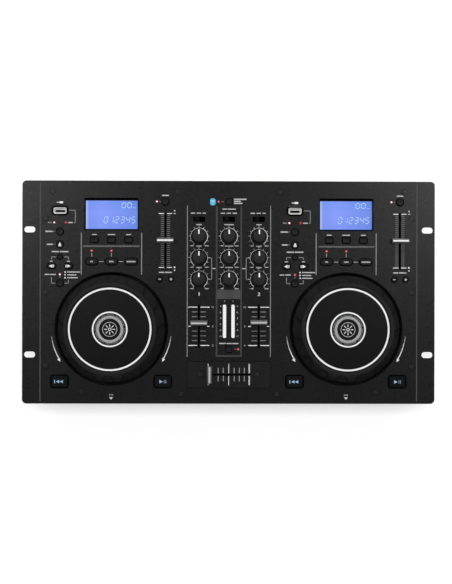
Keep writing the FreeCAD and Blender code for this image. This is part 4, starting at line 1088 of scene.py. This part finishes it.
def deck_printing(side, deck):
    """All marks round one deck; x counts from the deck's middle."""
    white, legend, line, tick = [Print(PANEL, deck) for _ in range(4)]
    # memory-stick symbol, lamp labels and their bracket
    white.line([(-63.5, 104.8), (-60.6, 104.8)], 0.8)
    white.fill(rounded(4.2, 2.3, 0.5, -58.6, 104.8))
    if side == "right":
        line.line([(-67.3, 100.9), (-53.3, 100.9)], 0.6)
    line.line([(-49.7, 95.6), (-42.2, 95.6), (-42.2, 81.0), (-43.6, 81.0)], 0.75)
    line.bar(-74.2, 80.6, -69.8, 81.8)
    legend.bar(-50.5, 80.5, -45.2, 81.8)
    # left column
    for y, near in ((70.8, -77.0), (55.7, -75.4)):
        legend.bar(near, y - 0.75, -68.6, y + 0.75)
        line.line([(-67.9, y), (-66.0, y)], 0.5)
    legend.bars((-69.7, 46.5, -61.2, 47.9), (-60.2, 46.5, -50.2, 47.9))
    for way in (-1, 1):
        outer = -60 + way * 9.9
        line.line([(-60 + way * 4.9, 41.0), (outer, 41.0), (outer, 38.4)], 0.8)
        legend.bar(-61.7 + way * 10, 35.4, -58.3 + way * 10, 36.5)
        line.line([(-60 + way * 5.6, 10.3), (outer, 10.3), (outer, 17.0 if way < 0 else 13.9)], 0.8)
    line.line([(-60, 18.2), (-60, 16.6)], 0.5)
    legend.bars((-77.8, 19.9, -72.4, 21.1), (-71.6, 19.9, -64.9, 21.1))
    for row, end in enumerate((-36.4, -41.0, -39.3)):
        y = 23.4 - 3.35 * row
        white.fill(rounded(1.5, 1.5, 0.2, -54.0, y, 2))
        legend.bar(-51.7, y - 0.6, end, y + 0.6)
    # display keys and loop keys
    for middle, half in ((-20, 2.8), (0, 4.4), (20, 2.9)):
        legend.post(middle, half, 66.7, 67.8)
    for row, shift in ((53.2, 0.0), (54.2, 0.6)):
        for step in range(55):
            middle = -32.6 + step * 1.2 + shift
            line.post(middle, 0.33, row - 0.33, row + 0.33)
    for x in (-35.2, 35.2):
        line.post(x, 0.5, 20.5, 69.5)
    for x in (-11.7, 11.3):
        legend.post(x, 2.7, 35.45, 35.95)
    for x in (-23.0, 0.0):
        line.post(x, 0.45, 41.3, 45.6)
    # pitch scale
    for row in range(28):
        y = 92.0 - row * 63.0 / 27
        sheet, left, right, half = (white, 55.1, 70.7, 0.42) if row in (0, 27) else (tick, 57.6, 68.4, 0.36)
        sheet.bars((left, y - half, 61.3, y + half), (64.7, y - half, right, y + half))
    white.triangle(73.7, 95.6, 1.9, "up")
    white.post(73.7, 1.0, 91.7, 92.3)
    white.fill(circle(0.95, 73.7, 29.2, 20))
    white.triangle(73.7, 25.3, 1.9, "down")
    legend.bars((55.3, 22.6, 61.2, 23.9), (62.2, 22.6, 70.6, 23.9), (59.1, 112.5, 66.9, 113.9))
    line.line([(55.6, 106.0), (57.2, 106.0)], 0.5)
    # direction arrows beside the jog wheel, and the disc mark
    for mirror in (-1, 1):
        white.arc(0, JOG_Y, 70.2, mirror * 97.0, mirror * 119.6, lambda share: 0.2 + share, 32)
        tip = math.radians(90 - mirror * 121.0)
        white.fill(arrowhead(*polar(0, JOG_Y, 70.7, tip), tip, mirror))
    white.fill([(-2.4, -122.7), (0, -125.4), (2.4, -122.7)])
    for block in (-1.7, 0.0, 1.7):
        legend.post(block, 0.6, -120.6, -119.4)
    white.make(f"deck_white_print_{side}", "white_ink")
    legend.make(f"deck_legends_{side}", "legend_ink")
    line.make(f"deck_lines_{side}", "line_ink")
    tick.make(f"deck_ticks_{side}", "tick_ink")
    edge = Print(PANEL, -220.3 if side == "left" else 220.3)
    edge.post(0, 0.62, -127.5, 127.5)
    edge.make(f"ear_line_{side}", "block_ink")


def knob_printing(white, legend, x, y, even):
    """The printed ring, ticks and end labels round a knob."""
    if even:
        white.arc(x, y, 10.0, -145, 145, lambda share: 0.22 + 0.44 * abs(2 * share - 1) ** 3)
        legend.post(x, 1.5, y + 12.6, y + 13.1)
    else:
        white.arc(x, y, 10.0, -145, 145, lambda share: 0.2 + 0.56 * share**2)
    for tick in range(-5, 6):
        legend.spoke(x, y, tick * 29.0, 10.0, 12.4 if tick else 12.9, 0.42)
    legend.bar(x - 10.7, y - 11.1, x - 9.8, y - 10.6)
    legend.bar(x - 9.4, y - 11.4, x - 6.4, y - 10.4)
    legend.bar(x + 6.8, y - 11.4, x + 11.2, y - 10.4)


def mixer_printing():
    white, legend, line, dull, block, black = [Print() for _ in range(6)]
    # frame and bands
    for side in (-1, 1):
        line.post(side * 48.7, 0.42, -75.5, 101.5)
        dull.post(side * 14.35, 1.0, -73.4, 100.8)
        line.line([(side * 24.6, 40.2), (side * 20.2, 40.2), (side * 20.2, 15.0), (side * 24.6, 15.0)], 0.75)
        legend.post(side * 17.5, 1.9, 27.3, 28.4)
    dull.post(0, 15.35, -75.4, -73.4)
    block.post(0, 13.35, -7.6, 3.0)
    # knobs and source switches
    for column, x in COLUMNS.items():
        outside = column != "middle"
        for index, y in enumerate(KNOB_ROWS):
            knob_printing(white, legend, x, y, outside and index > 0)
            half = 3.2 if outside else 5.4 - 0.4 * index
            legend.post(x, half, y + 13.35, y + 14.5)
        for near, far in ((-9.7, -4.8), (-2.8, 2.2), (4.3, 7.8 if outside else 9.2)):
            legend.bar(x + near, 92.0, x + far, 93.2)
    legend.bars((-7.8, 96.8, -2.4, 98.0), (-1.5, 96.8, 8.0, 98.0))
    # bold channel numbers, from three prints a little apart
    for layer, offset in enumerate((-0.28, 0.0, 0.28)):
        numbers = Print(PANEL + 0.03 * layer, offset)
        numbers.text("1", -34.8, -2.0, 4.0)
        numbers.text("2", 35.2, -2.0, 4.0)
        numbers.make(f"channel_numbers_{layer}", "white_ink")
    # wireless row and the fader start row
    for row, end in enumerate((20.3, 13.4, 15.6)):
        y = 108.9 - 2.35 * row
        legend.bar(5.7, y - 0.75, end, y + 0.75)
    line.line([(-8.9, 106.0), (-6.2, 106.0)], 0.5)
    legend.bars((-11.3, -60.4, -3.6, -59.2), (-2.8, -60.4, 3.3, -59.2), (4.1, -60.4, 11.3, -59.2))
    line.line([(6.5, -66.5), (8.0, -66.5)], 0.5)
    # level scale
    legend.text("1", -5.0, -10.4, 2.1)
    legend.text("2", 5.0, -10.4, 2.1)
    for row, word in enumerate(("9", "6", "3", "0", "-5", "-10")):
        for x in (-9.7, 9.9):
            legend.text(word, x, -16.2 - 7.0 * row, 2.0, min(2.4, 1.5 * len(word)))
    # channel scales, and painted shade past the ends of the fader slots, drawn as if the slots ran longer
    for side in (-1, 1):
        x = side * 35.0
        for row in range(9):
            y = -17.3 - 5.6 * row
            sheet, reach, half = (white, 12.3, 0.45) if row in (0, 4, 8) else (line, 8.2, 0.36)
            # the middle row stops short of the cap, whose shadow falls there at rest: painted shade by leaving
            # out the print
            near = 9.4 if row == 4 else 1.9
            sheet.bars((x - reach, y - half, x - near, y + half), (x + near, y - half, x + reach, y + half))
        for word, row in (("10", 0), ("5", 4), ("0", 8)):
            legend.text(word, x - side * 16.2, -17.3 - 5.6 * row, 2.1)
        # painted shade: black past each end of the slot
        for low, high in ((-67.6, -64.6), (-14.4, -11.2)):
            black.fill(rounded(1.9, high - low, 0.9, x, (low + high) / 2))
    white.make("mixer_white_print", "white_ink")
    legend.make("mixer_legends", "legend_ink")
    line.make("mixer_lines", "line_ink")
    dull.make("mixer_bands", "dull_ink")
    black.make("fader_slot_shade", "slot_shade_black")
    block.make("mixer_block", "mesh_ink")


def crossfader_printing():
    white, legend, line, black = [Print(PLATE) for _ in range(4)]
    for x, half, sheet in ((-24.0, 0.55, legend), (0.0, 0.36, white), (24.0, 0.85, legend)):
        sheet.post(x, half, -94.4, -83.6, -108.4, -97.7)
    for x in (-12.3, -6.3, 6.4, 12.4, 18.2):
        line.post(x, 0.5, -94.4, -88.2, -103.9, -97.7)
    white.make("crossfader_middle", "white_ink")
    legend.make("crossfader_marks", "legend_ink")
    line.make("crossfader_ticks", "line_ink")
    # painted shade: a black band along the edge of the crossfader plate, as its shadow on the panel
    outer, inner = (98.2, 31.2, 2.0, 0, CROSSFADER_Y), (96.0, 29.0, 1.2, 0, CROSSFADER_Y)
    border("crossfader_plate_shade", outer, inner, PANEL - 0.05, PANEL + 0.2)
    # painted shade past each end of the crossfader slot, drawn as if the slot ran longer
    black.fill(rounded(3.2, 1.3, 0.6, -28.9, CROSSFADER_Y))
    black.fill(rounded(2.4, 1.3, 0.6, 28.1, CROSSFADER_Y))
    black.make("crossfader_slot_shade", "slot_shade_black")


def badge():
    """A plain blue patch with a general sign for radio waves."""
    base, waves = Print(PANEL, -19.0), Print(PANEL + INK, -19.0)
    base.fill(rounded(6.6, 8.2, 2.6, 0, 105.8))
    base.make("wireless_badge", "badge_blue")
    waves.fill(circle(0.5, 0, 104.0, 20))
    for radius in (1.5, 2.6, 3.7):
        waves.arc(0, 104.0, radius, -38, 38, lambda share: 0.5, 12)
    waves.make("wireless_waves", "badge_waves")


for side, deck in DECKS.items():
    deck_printing(side, deck)
mixer_printing()
crossfader_printing()
badge()


# Walls: numbers and signs on the front and the back, coloured sleeves in the phono sockets

# How far in front of or behind the console's middle each face stands
FRONT_FACE = 126.5
REAR_FACE = 122.3
SLEEVE_FACE = 130.05
PHONO_COLUMNS = (56.0, 36.0, 16.0, -4.0)
MAINS_X = -186.0


def wall_printing():
    front, back = Print(FRONT_FACE), Print(REAR_FACE)
    for number, deck in enumerate(DECKS.values(), 1):
        front.text(str(number), deck - 74.0, 40.0, 4.0)
        front.triangle(deck + 74.0, 40.0, 2.4, "up")
        front.post(deck + 74.0, 1.6, 37.6, 38.2)
    for x in (-20.0, 20.0):
        front.ring(x, 53.6, 2.2, 1.7, 40)
        front.bars((x - 2.6, 51.4, x - 1.5, 53.6), (x + 1.5, 51.4, x + 2.6, 53.6))
    front.turned(front_wall).make("front_wall_print", "legend_ink")
    for number, x in enumerate(PHONO_COLUMNS, 1):
        back.text(str(number), x, 68.0, 3.4)
        back.post(x, 4.0, 65.2, 65.6)
    back.text("0", MAINS_X, 68.5, 3.0)
    back.ring(MAINS_X, 28.0, 1.5, 1.1, 32)
    back.turned(rear_wall).make("rear_wall_print", "legend_ink")


def sleeves(tone, height):
    """Coloured insulators inside one row of phono sockets, behind their rims."""
    rings = Shape()
    for x in PHONO_COLUMNS:
        rings.frame(circle(3.2, x, height), circle(1.75, x, height), SLEEVE_FACE, SLEEVE_FACE + 0.2)
    rings.turned(rear_wall).make(f"phono_sleeves_{tone}", f"sleeve_{tone}")


wall_printing()
sleeves("white", 53.5)
sleeves("red", 38.5)


# Studio


def studio():
    """A floor that gives off light to the camera, and to what mirrors or passes it."""
    floor = Finish("studio_floor", grey(0.62), 0.9)
    floor.mottle(0.99, 1.01, 3, 2)
    path = floor.node("ShaderNodeLightPath")
    seen = path["Is Camera Ray"]
    for extra in ("Is Glossy Ray", "Is Transmission Ray"):
        seen = floor.math("MAXIMUM", seen, path[extra])
    light = floor.math("MULTIPLY", seen, 0.56)
    floor.feed(floor.shader, {"Emission Color": (1, 1, 1, 1), "Emission Strength": light})
    mesh = bpy.data.meshes.new("studio_floor")
    mesh.from_pydata([(-4, -4, 0), (4, -4, 0), (4, 4, 0), (-4, 4, 0)], [], [(0, 1, 2, 3)])
    mesh.materials.append(floor.material)
    piece = placed("studio_floor", mesh)


def softbox(name, place, size, power, gloss):
    """A soft light aimed at the object, seen either in gloss alone or by plain colour alone."""
    light = bpy.data.lights.new(name, "AREA")
    light.shape = "RECTANGLE"
    light.size, light.size_y = size
    light.energy = power
    carrier = placed(name, light)
    carrier.location = place
    carrier.visible_glossy = gloss
    carrier.visible_transmission = gloss
    carrier.visible_diffuse = not gloss
    aim = Vector((0, 0, 0.05)) - Vector(place)
    carrier.rotation_euler = aim.to_track_quat("-Z", "Y").to_euler()


def camera():
    """Almost straight above the panel, as the photograph is."""
    distance = 1.19
    view_width = 0.5287
    data = bpy.data.cameras.new("camera")
    data.sensor_fit = "HORIZONTAL"
    data.sensor_width = 36.0
    data.lens = 36.0 * distance / view_width
    data.clip_start = 0.01
    eye = placed("camera", data)
    eye.location = (-0.0176, 0.0016, PANEL * MM + distance)
    eye.rotation_euler = [math.radians(angle) for angle in (-0.057, -0.685, 0.131)]
    bpy.context.scene.camera = eye


studio()
softbox("softbox_above", (0.0, 0.36, 2.6), (1.4, 0.45), 34, False)
softbox("softbox_behind", (0.0, 2.2, 1.3), (1.6, 0.5), 36, False)
softbox("softbox_left", (-1.1, 0.66, 2.6), (0.65, 0.65), 22, True)
softbox("softbox_right", (1.1, 0.66, 2.6), (0.65, 0.65), 21, True)
camera()
world = bpy.data.worlds.new("studio_world")
world.use_nodes = True
world.node_tree.nodes["Background"].inputs["Color"].default_value = (1, 1, 1, 1)
world.node_tree.nodes["Background"].inputs["Strength"].default_value = 0.31
bpy.context.scene.world = world
bpy.context.scene.view_settings.view_transform = "Standard"
